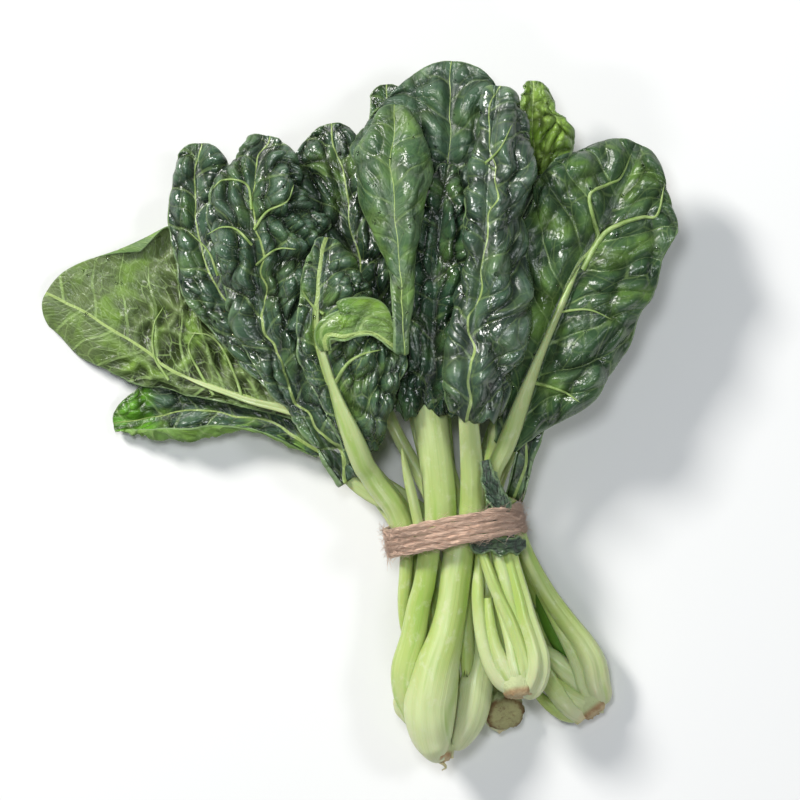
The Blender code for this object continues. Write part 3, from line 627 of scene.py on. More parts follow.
def vein_places(leaf, look, along, aside):
    """For each point of a blade: its distance from the midrib as drawn, how far up the midrib its side vein
    leaves it, and the number of that vein."""
    seed = leaf.seed
    swing = line_noise(along / 12, seed) + 0.35 * line_noise(along / 6, seed + 1)
    drawn = aside - look.sway * swing
    away = np.abs(drawn)
    lean = along - SIDE_VEIN_SLOPE * away - SIDE_VEIN_BEND * away**2
    lean = lean + 3.0 * value_noise(along / 13, drawn / 10, seed) * np.clip(away / 8, 0, 1)
    return drawn, lean, lean / SIDE_VEIN_SPACING + 0.37 * seed + 0.45 * (drawn > 0)


def crinkle_height(leaf, look, along, drawn, lean, side_vein, reader):
    """Height of the deep folds, of the cells between the fine veins and of the swelling between the side
    veins, and the places that the material reads."""
    seed = leaf.seed
    warp_along = 4.0 * value_noise(along / 12, drawn / 10, seed + 3)
    warp_across = 3.0 * value_noise(along / 12, drawn / 10, seed + 5)
    across, lengthways = look.bunch_size
    half_lean = along - 0.5 * SIDE_VEIN_SLOPE * np.abs(drawn) + warp_along
    bunch_x = half_lean / lengthways + 5.1 * seed
    bunch_y = (drawn + warp_across) / across + 2.3 * seed
    deep = pillow(cell_edge_distance(bunch_x, bunch_y, reader), BUNCH_CREASE)
    across, lengthways = look.cell
    x = (lean + 0.6 * warp_along) / lengthways + 7.3 * seed
    y = (drawn + 0.6 * warp_across) / across + 3.1 * seed
    cells = pillow(cell_edge_distance(x, y, reader), CELL_CREASE)

    from_vein = np.abs(side_vein - np.round(side_vein)) * SIDE_VEIN_SPACING
    valley = 0.35 + 0.65 * smooth_step(from_vein, 0.3, 2.2)
    swell = 0.85 + 0.45 * value_noise(along / 14, drawn / 12, seed + 9)
    crinkle = look.bunch * swell * deep + look.blister * cells * valley
    crinkle = crinkle + look.bulge * np.abs(np.sin(np.pi * side_vein)) ** 0.7
    if look.sunken:
        crinkle = 0.6 * look.bunch - crinkle
    return crinkle, np.stack([x, y, deep], axis=-1)


def relief(leaf, look, along, aside, root, edge, reader):
    """Height of the crinkle over the smooth blade, and the places that the material reads."""
    drawn, lean, side_vein = vein_places(leaf, look, along, aside)
    crinkle, place = crinkle_height(leaf, look, along, drawn, lean, side_vein, reader)
    across, lengthways = look.fold_size
    folds = look.fold * value_noise(along / lengthways + 0.3 * leaf.seed, drawn / across, leaf.seed + 7)
    inner = root if leaf.rib_on_top else 0.2 * root
    past_root = np.clip((np.abs(aside) - inner) / 4.0, 0, 1)
    near_rim = 0.4 + 0.6 * np.clip(edge / 6.0, 0, 1)
    calm = smooth_step(along / along.max(), look.calm_from, look.calm_from + CALM_WIDTH)
    near_rim = near_rim * (1 - 0.8 * calm)
    inside = np.clip(1 - (aside / root) ** 2, 0, 1)
    height = past_root * near_rim * crinkle + np.clip((np.abs(aside) - inner) / 9.0, 0, 1) * folds
    height = height + inside * 0.2 * np.minimum(root, 2.5)
    return height, place, np.stack([side_vein, drawn / root, edge], axis=-1)


def half_blade(leaf, look, side, u, length, root):
    """One side of a blade from the midrib's edge to the margin. It says of each point how far out and how
    far up it is, the angle of the sheet, how far ahead it is set, its distance aside along the sheet, and
    its distance from the edge."""
    sign = (-1, 1)[side]
    reach = np.maximum(blade_half_width(leaf, side, u), root + MIN_REACH) - root
    columns = max(MIN_COLUMNS, int(reach.max() / look.grid))
    share = np.linspace(0, 1, columns + 1)[None, :]
    wave = np.sin(2 * np.pi * leaf.waves * u + leaf.seed * 1.7 + 2 * side)[:, None]
    angle = np.radians(leaf.curl[side]) * share**CURL_POWER + np.radians(leaf.ruffle) * wave * share**2
    step = reach[:, None] * (share[:, 1:] - share[:, :-1])
    half_way = 0.5 * (angle[:, 1:] + angle[:, :-1])
    start = np.zeros((len(u), 1))
    out = root[:, None] + np.concatenate([start, np.cumsum(np.cos(half_way) * step, axis=1)], axis=1)
    rise = np.concatenate([start, np.cumsum(np.sin(half_way) * step, axis=1)], axis=1)
    tip = u[:, None] ** 8
    back = reach[:, None] * (0.2 * share * (1 - u[:, None]) ** 5 - 0.75 * share**2 * tip)
    aside = root[:, None] + reach[:, None] * share
    edge = np.minimum((1 - share) * reach[:, None], (1 - u[:, None]) * length + 0.3)
    part = [sign * out, rise, sign * angle, back, sign * aside, edge]
    return [p[:, ::-1] if side == 0 else p for p in part]


def rib_strip(look, root):
    """The same for the strip of the blade over its midrib, which counts as far from any edge."""
    count = max(3, int(2 * root.max() / look.grid))
    strip = root[:, None] * np.linspace(-1, 1, count + 2)[None, 1:-1]
    flat = 0 * strip
    return [strip, flat, flat, flat, strip, flat + RIB_EDGE]


def blade_sheet(leaf, look, route, reader):
    """The middle sheet of a blade on a fine grid, from the left margin over the midrib to the right
    one."""
    length = route.length - route.at_base
    rows = int(length / look.grid) + 1
    u = np.linspace(0, 1, rows)
    run = route.at_base + u * length
    ahead, right, above = route.axes(run, leaf.bank)
    rib_width, rib_thickness, _ = stalk_sizes(leaf, route, run)
    root = rib_width / 2 + RIB_MARGIN
    clear = rib_thickness / 2 + BLADE_GAP + BLADE_THICKNESS / 2
    middle = route.place(run) + above * (clear * (-1 if leaf.rib_on_top else 1))[:, None]

    left, right_half = (half_blade(leaf, look, side, u, length, root) for side in (0, 1))
    parts = zip(left, rib_strip(look, root), right_half)
    out, rise, angle, back, aside, edge = (np.concatenate(p, axis=1) for p in parts)

    along = u[:, None] * length + 0 * aside
    ragged = line_noise(aside / 4.5, leaf.seed) + 0.5 * line_noise(aside / 1.8, leaf.seed + 2)
    back = back - look.ragged * (0.9 + 0.5 * ragged) * np.exp(-along / 8.0)
    rise = rise - 1.2 * np.exp(-along / 3.0)
    height, place, veins = relief(leaf, look, along, aside, root[:, None], edge, reader)
    out = out - np.sin(angle) * height
    rise = rise + np.cos(angle) * height
    points = off_line(middle, (out, right), (rise, above), (back, ahead))
    spot = np.stack([along, aside, u[:, None] + 0 * aside], axis=-1)
    return Sheet(points, place, veins, spot)


def petiole_rings(leaf, route, run, count):
    """Rings of points round the stalk: a crescent whose rounded back faces out of the head."""
    width, thickness, wrap = (v[:, None] for v in stalk_sizes(leaf, route, run))
    turn = full_turn(count)
    swing = -np.cos(turn)
    bulge = np.sqrt(np.clip(1 - np.abs(swing) ** SECTION_POWER, 0, 1))
    ripple = np.where(np.sin(turn) >= 0, 0.5 * bulge, -0.5 * bulge * (0.72 + 0.28 * swing**2))
    side, depth = crescent(width, wrap, swing)
    depth = depth + thickness * ripple

    ahead, _, above = route.axes(run, leaf.bank)
    tie_out = UP * (1 if route.top_side else -1) + 0.6 * TIE_ACROSS * leaf.slot[0] / TIE_HALF_WIDTH
    facing = above * (1 if route.top_side else -1)
    share = eased(run, [0, route.at_bulb, route.at_tie, route.at_base], [0.0, 0.0, 1.0, 2.0])[:, None]
    out = np.where(
        share < 1,
        route.outward * (1 - share) + unit(tie_out) * share,
        unit(tie_out) * (2 - share) + facing * (share - 1),
    )
    out = unit(out - np.sum(out * ahead, axis=1, keepdims=True) * ahead)
    right = np.cross(ahead, out)
    return off_line(route.place(run), (side, right), (depth, out))


def cell_of(points):
    return tuple(
        np.clip(((points[..., i] - GRID_LOW[i]) / CELL).astype(int), 0, GRID_COUNT[i] - 1) for i in (0, 1)
    )


def neighbours(grid, join):
    """Each cell joined with the eight round it."""
    for axis in (0, 1):
        grid = join(join(grid, np.roll(grid, 1, axis)), np.roll(grid, -1, axis))
    return grid


def freedom():
    """0 below and in the tie, rising to 1 where the leaves are free to be lifted."""
    x = GRID_LOW[0] + (np.arange(GRID_COUNT[0]) + 0.5) * CELL
    y = GRID_LOW[1] + (np.arange(GRID_COUNT[1]) + 0.5) * CELL
    past = (x[:, None] - TIE_CENTRE[0]) * TIE_ALONG[0] + (y[None, :] - TIE_CENTRE[1]) * TIE_ALONG[1]
    return smooth_step(past, FREE_FROM, FREE_TO)


def membrane(need, free):
    """A smooth sheet that clears the needed heights where the leaves are free."""
    sheet = need.copy()
    for _ in range(MEMBRANE_PASSES):
        beside = np.roll(sheet, 1, 0) + np.roll(sheet, -1, 0) + np.roll(sheet, 1, 1) + np.roll(sheet, -1, 1)
        mean = 0.25 * beside
        sheet = np.maximum(need * free, mean) * (free > 0)
    for _ in range(2):
        sheet = neighbours(sheet, lambda a, b: 0.5 * (a + b))
    return sheet * np.minimum(1, 6 * free)


def lifted(points, lift):
    """The points raised by the lift under them, read between the middles of the cells."""
    x = np.clip((points[..., 0] - GRID_LOW[0]) / CELL - 0.5, 0, GRID_COUNT[0] - 1.001)
    y = np.clip((points[..., 1] - GRID_LOW[1]) / CELL - 0.5, 0, GRID_COUNT[1] - 1.001)
    ix, iy = x.astype(int), y.astype(int)
    fx, fy = x - ix, y - iy
    height = (
        lift[ix, iy] * (1 - fx) * (1 - fy)
        + lift[ix + 1, iy] * fx * (1 - fy)
        + lift[ix, iy + 1] * (1 - fx) * fy
        + lift[ix + 1, iy + 1] * fx * fy
    )
    return points + height[..., None] * UP


def settle(reader):
    """Lays each leaf on the table and on those under it. It returns each leaf with its look, route, sheet
    and lift."""
    free = freedom()
    top = np.zeros(GRID_COUNT)
    laid = []
    for leaf in LEAVES:
        look = LOOKS.get(leaf.name, HIDDEN)
        route = Route(leaf)
        sheet = blade_sheet(leaf, look, route, reader)
        middle = sheet.points.reshape(-1, 3)
        stalk_run = np.arange(route.at_tie, route.at_rib_end, LAID_STEP)
        points = np.vstack([middle - UP * BLADE_THICKNESS / 2, middle + UP * BLADE_THICKNESS / 2])
        if leaf.name not in SCRAPS:
            points = np.vstack([points, petiole_rings(leaf, route, stalk_run, LAID_SIDES).reshape(-1, 3)])
        low, high = np.full(GRID_COUNT, np.inf), np.full(GRID_COUNT, -np.inf)
        np.minimum.at(low, cell_of(points), points[:, 2])
        np.maximum.at(high, cell_of(points), points[:, 2])
        clearance = np.where(top > 0, LEAF_CLEARANCE, TABLE_CLEARANCE)
        need = np.where(np.isfinite(low), np.maximum(top + clearance - low, 0), 0)
        lift = membrane(neighbours(need, np.maximum), free)
        raised = np.where(np.isfinite(high), high + lift, 0)
        top = np.maximum(top, neighbours(raised, np.maximum))
        sheet.points = lifted(sheet.points, lift)
        laid.append((leaf, look, route, sheet, lift))
    return laid


VEIN_PALE = (0.27, 0.39, 0.13, 1.0)
YOUNG_GREEN = (0.19, 0.34, 0.035, 1.0)
RIB_PALE = (0.36, 0.48, 0.15, 1.0)
RIM_PALE = (0.20, 0.30, 0.13, 1.0)
TURNED_GREEN = (0.10, 0.27, 0.02, 1.0)
WHITE = (1.0, 1.0, 1.0, 1.0)

# The underside: how much lighter its light patches are, its roughness and specular level
UNDER_LIGHT = 1.4
UNDER_ROUGHNESS = 0.5
UNDER_SHINE = 0.35

# Share of a blade's length over which it turns over
TURN_WIDTH = 0.06


class Paint:
    """A material being built: it adds nodes and joins them."""

    def __init__(self, name):
        self.material = bpy.data.materials.new(name)
        self.material.use_nodes = True
        self.tree = self.material.node_tree
        self.shader = self.tree.nodes["Principled BSDF"]

    def node(self, kind, *values, **settings):
        made = self.tree.nodes.new("ShaderNode" + kind)
        for key, value in settings.items():
            setattr(made, key, value)
        for socket, value in zip(made.inputs, values):
            self.plug(value, socket)
        return made

    def plug(self, value, socket):
        if value is None:
            return
        if isinstance(value, bpy.types.NodeSocket):
            self.tree.links.new(value, socket)
        else:
            socket.default_value = value

    def math(self, operation, *values):
        return self.node("Math", *values, operation=operation).outputs[0]

    def mix(self, share, first, second, blend="MIX"):
        made = self.node("Mix", data_type="RGBA", blend_type=blend)
        for index, value in ((0, share), (6, first), (7, second)):
            self.plug(value, made.inputs[index])
        return made.outputs[2]

    def read(self, name):
        """A stored vector attribute: whole, then its three numbers."""
        vector = self.node("Attribute", attribute_name=name).outputs["Vector"]
        return (vector, *self.node("SeparateXYZ", vector).outputs[:3])

    def scaled(self, vector, factors, shift=(0.0, 0.0, 0.0)):
        return self.node("VectorMath", vector, factors, shift, operation="MULTIPLY_ADD").outputs[0]

    def noise(self, vector, scale, detail=2.0, roughness=0.5):
        made = self.node("TexNoise")
        self.plug(vector, made.inputs["Vector"])
        made.inputs["Scale"].default_value = scale
        made.inputs["Detail"].default_value = detail
        made.inputs["Roughness"].default_value = roughness
        return made.outputs["Fac"]

    def cells(self, vector):
        made = self.node("TexVoronoi", voronoi_dimensions="2D", feature="DISTANCE_TO_EDGE")
        self.plug(vector, made.inputs["Vector"])
        made.inputs["Scale"].default_value = 1.0
        made.inputs["Randomness"].default_value = CELL_RANDOMNESS
        return made.outputs["Distance"]

    def step(self, value, low, high, start=0.0, end=1.0):
        """start where the value is below low, end where it is above high, smooth between."""
        made = self.node("MapRange", value, low, high, start, end, interpolation_type="SMOOTHSTEP")
        return made.outputs[0]

    def ramp(self, value, stops):
        made = self.node("ValToRGB", value)
        line = made.color_ramp
        while len(line.elements) < len(stops):
            line.elements.new(0.5)
        for element, (place, colour) in zip(line.elements, stops):
            element.position = place
            element.color = (*colour, 1.0)
        return made.outputs["Color"]

    def bump(self, height, distance, strength=1.0):
        made = self.node("Bump")
        made.inputs["Strength"].default_value = strength
        made.inputs["Distance"].default_value = distance
        self.plug(height, made.inputs["Height"])
        return made.outputs["Normal"]

    def finish(self, colour, roughness, normal, **constants):
        self.plug(colour, self.shader.inputs["Base Color"])
        self.plug(roughness, self.shader.inputs["Roughness"])
        self.plug(normal, self.shader.inputs["Normal"])
        for name, value in constants.items():
            self.shader.inputs[name.replace("_", " ")].default_value = value
        return self.material


class LeafPaint(Paint):
    """The paint of one side of a blade: dark green between pale veins above, paler and duller below."""

    def __init__(self, leaf, look, upper):
        super().__init__(("upper_" if upper else "lower_") + leaf.name[5:])
        self.look, self.upper = look, upper
        place, _, _, self.deep = self.read("place")
        _, self.side_vein, self.ribwise, self.edge = self.read("veins")
        spot, _, aside, self.share = self.read("spot")
        self.shifted = self.scaled(spot, (1.0, 1.0, 0.0), (31.0 * leaf.seed, 17.0, 0.0))
        self.away = self.math("ABSOLUTE", aside)
        self.net = self.cells(place)
        self.fine_net = self.cells(self.scaled(place, (2.7, 2.7, 0.0), (5.0, 0.0, 0.0)))

    def over(self, colour, cover, mask, strength=1.0):
        """The colour under another that shows where the mask is 1."""
        return self.mix(self.math("MULTIPLY", mask, strength), colour, cover)

    def ground(self):
        """The colour between the veins: broad clouds, young patches and a fine mottle."""
        tone, light = self.look.tone, self.look.light
        if not self.upper:
            tone, light = self.look.under, tuple(UNDER_LIGHT * c for c in self.look.under)
        tone, light = (*tone, 1.0), (*light, 1.0)
        broad = self.noise(self.shifted, 0.07, 3.0, 0.6)
        colour = self.mix(self.step(broad, 0.35, 0.7), tone, light)
        elsewhere = self.scaled(self.shifted, (1.0, 1.0, 1.0), (70.0, 9.0, 3.0))
        patches = self.step(self.noise(elsewhere, 0.085), 0.48, 0.7)
        colour = self.over(colour, YOUNG_GREEN, patches, min(1.0, 1.5 * self.look.young))
        mottle = self.noise(self.shifted, 0.9, 4.0, 0.7)
        return self.mix(self.step(mottle, 0.3, 0.75, 0.0, 0.35), colour, light)

    def by_length(self, colour):
        """Changes towards one end: a turned-over tip, or painted shade over the base."""
        look = self.look
        if self.upper and look.turned_from < 1:
            turned = self.step(self.share, look.turned_from, look.turned_from + TURN_WIDTH)
            colour = self.mix(turned, colour, TURNED_GREEN)
        # Painted shade over the lower part of the blade: its colour falls to a quarter below dim_below
        if self.upper and look.dim_below > 0:
            dim = self.step(self.share, look.dim_below - 0.14, look.dim_below + 0.08, 0.25, 1.0)
            colour = self.mix(1.0, colour, dim, "MULTIPLY")
        return colour

    def shaded(self, colour):
        """Painted shade and light: darker in the creases of the net and of the deep folds and, on the upper
        side, lighter on the tops of the folds; a sunken blade is darker in its pits and lighter on the
        ridges between them.
        """
        look = self.look
        crease_low = 0.30 + 0.7 * look.dusk if self.upper and not look.sunken else 0.9
        # Painted shade in the creases of the net of fine cells
        crease = self.step(self.net, 0.0, 0.22, crease_low, 1.0)
        colour = self.mix(1.0, colour, crease, "MULTIPLY")
        # Painted shade in the deep folds and painted light on their tops
        low, high = (look.dusk, 1.25) if self.upper else (0.8, 1.0)
        if look.sunken:
            low, high = 1.15, look.dusk
        shade = self.step(self.deep, 0.0, 0.95, low, high)
        if look.calm_from < 1:
            calm = self.step(self.share, look.calm_from, look.calm_from + CALM_WIDTH)
            shade = self.mix(calm, shade, WHITE)
        return self.mix(1.0, colour, shade, "MULTIPLY")

    def side_lines(self):
        """1 on the side veins, which get slimmer away from the midrib."""
        turn = self.math("SUBTRACT", self.math("FRACT", self.math("ADD", self.side_vein, 0.5)), 0.5)
        from_vein = self.math("MULTIPLY", self.math("ABSOLUTE", turn), SIDE_VEIN_SPACING)
        width = self.step(self.away, 2.0, 38.0, 0.95, 0.3)
        return self.math("SUBTRACT", 1.0, self.step(self.math("DIVIDE", from_vein, width), 0.35, 1.0))

    def veined(self, colour, side):
        """Pale side veins and two nets of finer ones."""
        strength = self.look.vein if self.upper else min(1.0, self.look.vein + 0.35)
        broken = self.step(self.noise(self.shifted, 0.16), 0.35, 0.6, 0.35, 1.0)
        net = self.step(self.net, 0.012, 0.05, 1.0, 0.0)
        colour = self.over(colour, VEIN_PALE, self.math("MULTIPLY", side, broken), strength)
        colour = self.over(colour, VEIN_PALE, self.math("MULTIPLY", net, broken), 0.6 * strength)
        return self.over(colour, VEIN_PALE, self.step(self.fine_net, 0.01, 0.07, 1.0, 0.0), 0.3 * strength)

    def rimmed(self, colour):
        """The pale midrib and a pale rim."""
        look = self.look
        rib = self.step(self.math("ABSOLUTE", self.ribwise), 0.7 * look.rib, 1.1 * look.rib, 1.0, 0.0)
        if look.rib_to < 1:
            past_end = self.step(self.share, look.rib_to - 0.05, look.rib_to, 1.0, 0.0)
            rib = self.math("MULTIPLY", rib, past_end)
        colour = self.over(colour, RIB_PALE, rib, 0.9)
        return self.mix(self.step(self.edge, 0.25, 0.85, 0.75, 0.0), colour, RIM_PALE)

    def wrinkles(self, side):
        """The finest relief: wrinkles, grain, sunken side veins and the swelling between the finest
        ones."""
        wrinkle = self.math("MULTIPLY", self.noise(self.shifted, 0.42, 3.0, 0.6), 0.52)
        grain = self.math("MULTIPLY", self.noise(self.shifted, 2.4, 2.0, 0.6), 0.06)
        height = self.math("ADD", wrinkle, grain)
        height = self.math("SUBTRACT", height, self.math("MULTIPLY", side, 0.2))
        height = self.math("ADD", height, self.step(self.fine_net, 0.0, 0.25, 0.0, 0.16))
        return self.bump(height, 0.6 * MM, 1.0 if self.upper else 0.6)

    def roughness(self):
        """Patchy gloss, duller beside the midrib."""
        gloss = self.look.gloss if self.upper else UNDER_ROUGHNESS
        patchy = self.step(self.noise(self.shifted, 0.11, 2.0), 0.3, 0.7, gloss - 0.02, gloss + 0.18)
        return self.math("ADD", patchy, self.step(self.away, 1.5, 4.0, 0.09, 0.0))


def leaf_material(leaf, look, upper):
    paint = LeafPaint(leaf, look, upper)
    side = paint.side_lines()
    colour = paint.shaded(paint.by_length(paint.ground()))
    colour = paint.rimmed(paint.veined(colour, side))
    level = look.shine if upper else UNDER_SHINE
    return paint.finish(colour, paint.roughness(), paint.wrinkles(side), Specular_IOR_Level=level)


# The colours of a stalk from the cut end to the end of the midrib
PETIOLE_COLOURS = [
    (0.0, (0.56, 0.46, 0.26)),
    (0.02, (0.58, 0.60, 0.37)),
    (0.13, (0.52, 0.585, 0.29)),
    (0.27, (0.42, 0.53, 0.15)),
    (0.42, (0.38, 0.49, 0.13)),
    (0.75, (0.44, 0.53, 0.22)),
    (1.0, (0.34, 0.44, 0.18)),
]
# Painted shade: the colour of the stalks that lie deep inside a head is multiplied by this dark green
INNER_SHADE = (0.22, 0.40, 0.12, 1.0)

# Cut stems
TAN = (0.60, 0.47, 0.27, 1.0)
BROWN = (0.38, 0.23, 0.11, 1.0)
OLIVE = (0.40, 0.38, 0.18, 1.0)
DARK_BROWN = (0.14, 0.055, 0.02, 1.0)
STEM_GREEN = (0.56, 0.62, 0.33, 1.0)

# Dark and pale fibre, in the twine and standing off it
JUTE_COLOURS = (0.60, 0.37, 0.25, 1.0), (0.98, 0.72, 0.55, 1.0)
FIBRE_COLOURS = (0.70, 0.46, 0.33, 1.0), (0.96, 0.74, 0.58, 1.0)
PINK_FIBRE = (0.80, 0.60, 0.48, 1.0)

STOUT_VEIN_COLOURS = (0.22, 0.35, 0.08, 1.0), (0.40, 0.51, 0.20, 1.0)
FLOOR_COLOURS = (0.80, 0.80, 0.79, 1.0), (0.84, 0.84, 0.83, 1.0)


@dataclass
class Cloud:
    """A cloud of colour on the stalks: how fine its noise is along and across them, where that is read,
    its detail and roughness, the values it starts and ends between, how strong it gets and its colour."""

    fine: tuple
    shift: tuple
    noise: tuple
    between: tuple
    most: float
    colour: tuple


CLOUDS = {
    "pale streaks": Cloud((0.016, 0.16), (0, 0), (2.0, 0.5), (0.48, 0.66), 0.6, (0.58, 0.67, 0.33)),
    "greener streaks": Cloud((0.02, 0.25), (3, 9), (2.0, 0.5), (0.52, 0.72), 0.6, (0.26, 0.43, 0.05)),
    "thin lines": Cloud((0.03, 2.4), (0, 0), (2.0, 0.5), (0.5, 0.75), 0.2, (0.22, 0.36, 0.06)),
    "tan flecks": Cloud((0.28, 0.4), (0, 5), (3.0, 0.7), (0.7, 0.76), 0.35, (0.30, 0.20, 0.08)),
    "pale blotches": Cloud((0.16, 0.22), (7, 2), (4.0, 0.65), (0.52, 0.7), 0.45, (0.60, 0.64, 0.40)),
}


def petiole_material(deep):
    """Pale green stalks, white in the bulb, with fine lengthwise ribs. Deep ones, inside the head, are
    darkened with painted shade.
    """
    paint = Paint("petiole_deep" if deep else "petiole")
    flow, _, _, share = paint.read("flow")
    colour = paint.ramp(paint.math("MULTIPLY", share, 0.25), PETIOLE_COLOURS)
    for cloud in CLOUDS.values():
        noise = paint.noise(paint.scaled(flow, (*cloud.fine, 0.0), (*cloud.shift, 0.0)), 1.0, *cloud.noise)
        colour = paint.mix(paint.step(noise, *cloud.between, 0.0, cloud.most), colour, (*cloud.colour, 1.0))
    # Painted shade for a stalk deep inside the head
    if deep:
        colour = paint.mix(1.0, colour, INNER_SHADE, "MULTIPLY")
    ribs = paint.noise(paint.scaled(flow, (0.01, 0.9, 0.0)), 1.0, 2.0)
    fine = paint.noise(paint.scaled(flow, (0.4, 1.6, 0.0)), 1.0, 3.0)
    normal = paint.bump(paint.math("ADD", ribs, paint.math("MULTIPLY", fine, 0.12)), 0.22 * MM)
    roughness = paint.step(paint.noise(flow, 0.09), 0.35, 0.7, 0.30, 0.46)
    wax = {"Specular_IOR_Level": 0.5, "Subsurface_Weight": 0.12, "Subsurface_Scale": 0.004}
    return paint.finish(colour, roughness, normal, **wax)


def butt_material(name, heart, rim):
    """The torn, dried face of a cut stem."""
    paint = Paint(name)
    _, depth, reach, _ = paint.read("cut")
    spot = paint.node("NewGeometry").outputs["Position"]
    rough_edge = paint.math("ADD", reach, paint.math("MULTIPLY", paint.noise(spot, 700.0, 3.0), 0.25))
    colour = paint.mix(paint.step(rough_edge, 0.75, 1.15), heart, rim)
    colour = paint.mix(paint.step(paint.noise(spot, 520.0, 4.0, 0.7), 0.5, 0.72, 0.0, 0.6), colour, rim)
    colour = paint.mix(paint.step(depth, 0.0, 2.5), colour, STEM_GREEN)
    normal = paint.bump(paint.noise(spot, 900.0, 4.0, 0.7), 0.9 * MM)
    return paint.finish(colour, 0.75, normal, Specular_IOR_Level=0.25)


def jute_material(name, dark, pale):
    """Dry pinkish brown fibre, streaked along its length."""
    paint = Paint(name)
    flow = paint.read("flow")[0]
    strands = paint.noise(paint.scaled(flow, (0.16, 9.0, 3.1)), 1.0, 3.0, 0.65)
    lengths = paint.noise(paint.scaled(flow, (0.5, 1.0, 3.1)), 0.4, 2.0)
    colour = paint.mix(paint.step(strands, 0.32, 0.68), dark, pale)
    colour = paint.mix(paint.step(lengths, 0.45, 0.7, 0.0, 0.45), colour, PINK_FIBRE)
    normal = paint.bump(strands, 0.5 * MM)
    return paint.finish(colour, 0.92, normal, Specular_IOR_Level=0.15, Sheen_Weight=0.25)


def water_material():
    paint = Paint("water")
    ripple = paint.noise(paint.node("NewGeometry").outputs["Position"], 300.0)
    roughness = paint.step(ripple, 0.3, 0.8, 0.02, 0.06)
    return paint.finish(WHITE, roughness, None, IOR=1.33, Transmission_Weight=1.0)


def floor_material():
    paint = Paint("floor")
    cloud = paint.noise(paint.node("NewGeometry").outputs["Position"], 3.0)
    colour = paint.mix(cloud, *FLOOR_COLOURS)
    return paint.finish(colour, 0.8, None, Specular_IOR_Level=0.1)


def grid_faces(rows, columns):
    """Corner indices of the quads of a grid of points."""
    index = np.arange(rows * columns).reshape(rows, columns)
    corners = [index[:-1, :-1], index[:-1, 1:], index[1:, 1:], index[1:, :-1]]
    return np.stack(corners, axis=-1).reshape(-1, 4)


def tube_faces(rings, count, first):
    """Corner indices of the quads round a run of rings, whose points start at first."""
    index = first + np.arange(rings * count).reshape(rings, count)
    beside = np.roll(index, -1, axis=1)
    return np.stack([index[:-1], beside[:-1], beside[1:], index[1:]], axis=-1).reshape(-1, 4)


def build_mesh(name, points, corners, attributes):
    """A smooth mesh of quads, with what its material reads at each point."""
    mesh = bpy.data.meshes.new(name)
    points = points.reshape(-1, 3)
    mesh.vertices.add(len(points))
    mesh.vertices.foreach_set("co", (points * MM).astype(np.float32).ravel())
    count, sides = corners.shape
    mesh.loops.add(count * sides)
    mesh.loops.foreach_set("vertex_index", corners.ravel().astype(np.int32))
    mesh.polygons.add(count)
    mesh.polygons.foreach_set("loop_start", np.arange(0, count * sides, sides, dtype=np.int32))
    for key, values in attributes.items():
        layer = mesh.attributes.new(key, "FLOAT_VECTOR", "POINT")
        layer.data.foreach_set("vector", values.reshape(-1, 3).astype(np.float32).ravel())
    mesh.update(calc_edges=True)
    mesh.shade_smooth()
    return mesh


def join_tubes(name, tubes, **reads):
    """One mesh of many tubes, each a run of rings of points. reads holds, for each tube, what the
    material reads."""
    faces, first = [], 0
    for rings in tubes:
        faces.append(tube_faces(*rings.shape[:2], first))
        first += rings.shape[0] * rings.shape[1]
    points = np.vstack([rings.reshape(-1, 3) for rings in tubes])
    attributes = {key: np.vstack([part.reshape(-1, 3) for part in parts]) for key, parts in reads.items()}
    return build_mesh(name, points, np.vstack(faces), attributes)


def above_table(rings, height):
    """The rings with no point lower than the height."""
    rings[..., 2] = np.maximum(rings[..., 2], height)
    return rings


def place_object(mesh, materials, slot, *replaced):
    """Links a finished mesh as one piece that rides on the bunch."""
    piece = bpy.data.objects.new(mesh.name, mesh)
    for material in materials:
        mesh.materials.append(material)
    bpy.context.scene.collection.objects.link(piece)
    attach(piece, "root")
    if replaced:
        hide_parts(*replaced)
    return piece


def make_blade(leaf, look, sheet):
    """One blade: the sheet given its thickness, dark above and paler below."""
    attributes = {"place": sheet.place, "veins": sheet.veins, "spot": sheet.spot}
    corners = grid_faces(*sheet.points.shape[:2])
    mesh = build_mesh("blade_" + leaf.name[5:], sheet.points, corners, attributes)
    upper, lower = leaf_material(leaf, look, True), leaf_material(leaf, look, False)
    replaced = [] if leaf.name in SCRAPS else [leaf.name]
    piece = place_object(mesh, [upper, lower], "leaf", *replaced)
    skin = piece.modifiers.new("thickness", "SOLIDIFY")
    skin.thickness = BLADE_THICKNESS * MM
    skin.offset = 0.0
    skin.material_offset = 1
    skin.material_offset_rim = 1


PETIOLE_POINTS = 28
PETIOLE_STEP = 2.0
STALK_CLEARANCE = 0.05
FIRST_STALK_SEED = 30
# How far apart the stalks' materials are read
STALK_APART = 20.0
SHARP_ANGLE = math.radians(60)


@dataclass
class Stalk:
    """One stalk as it shows between the cut end and the tie. knots are (x, y, height, width) from the cut
    end up. shade is where its colour starts and ends on the way from the cut end, 0, over the bulb, 1, to
    the tie, 2. wrap is how far its edges turn in, roll how far it leans to the right in degrees, groove
    the depth of the hollow along it as a share of its width; a torn stalk ends in a ragged edge and a
    deep one lies inside the head and is darkened with painted shade."""

    head: str
    knots: list
    shade: tuple = (0.2, 2.0)
    wrap: float = 0.8
    roll: float = 0.0
    groove: float = 0.02
    torn: bool = False
    deep: bool = False


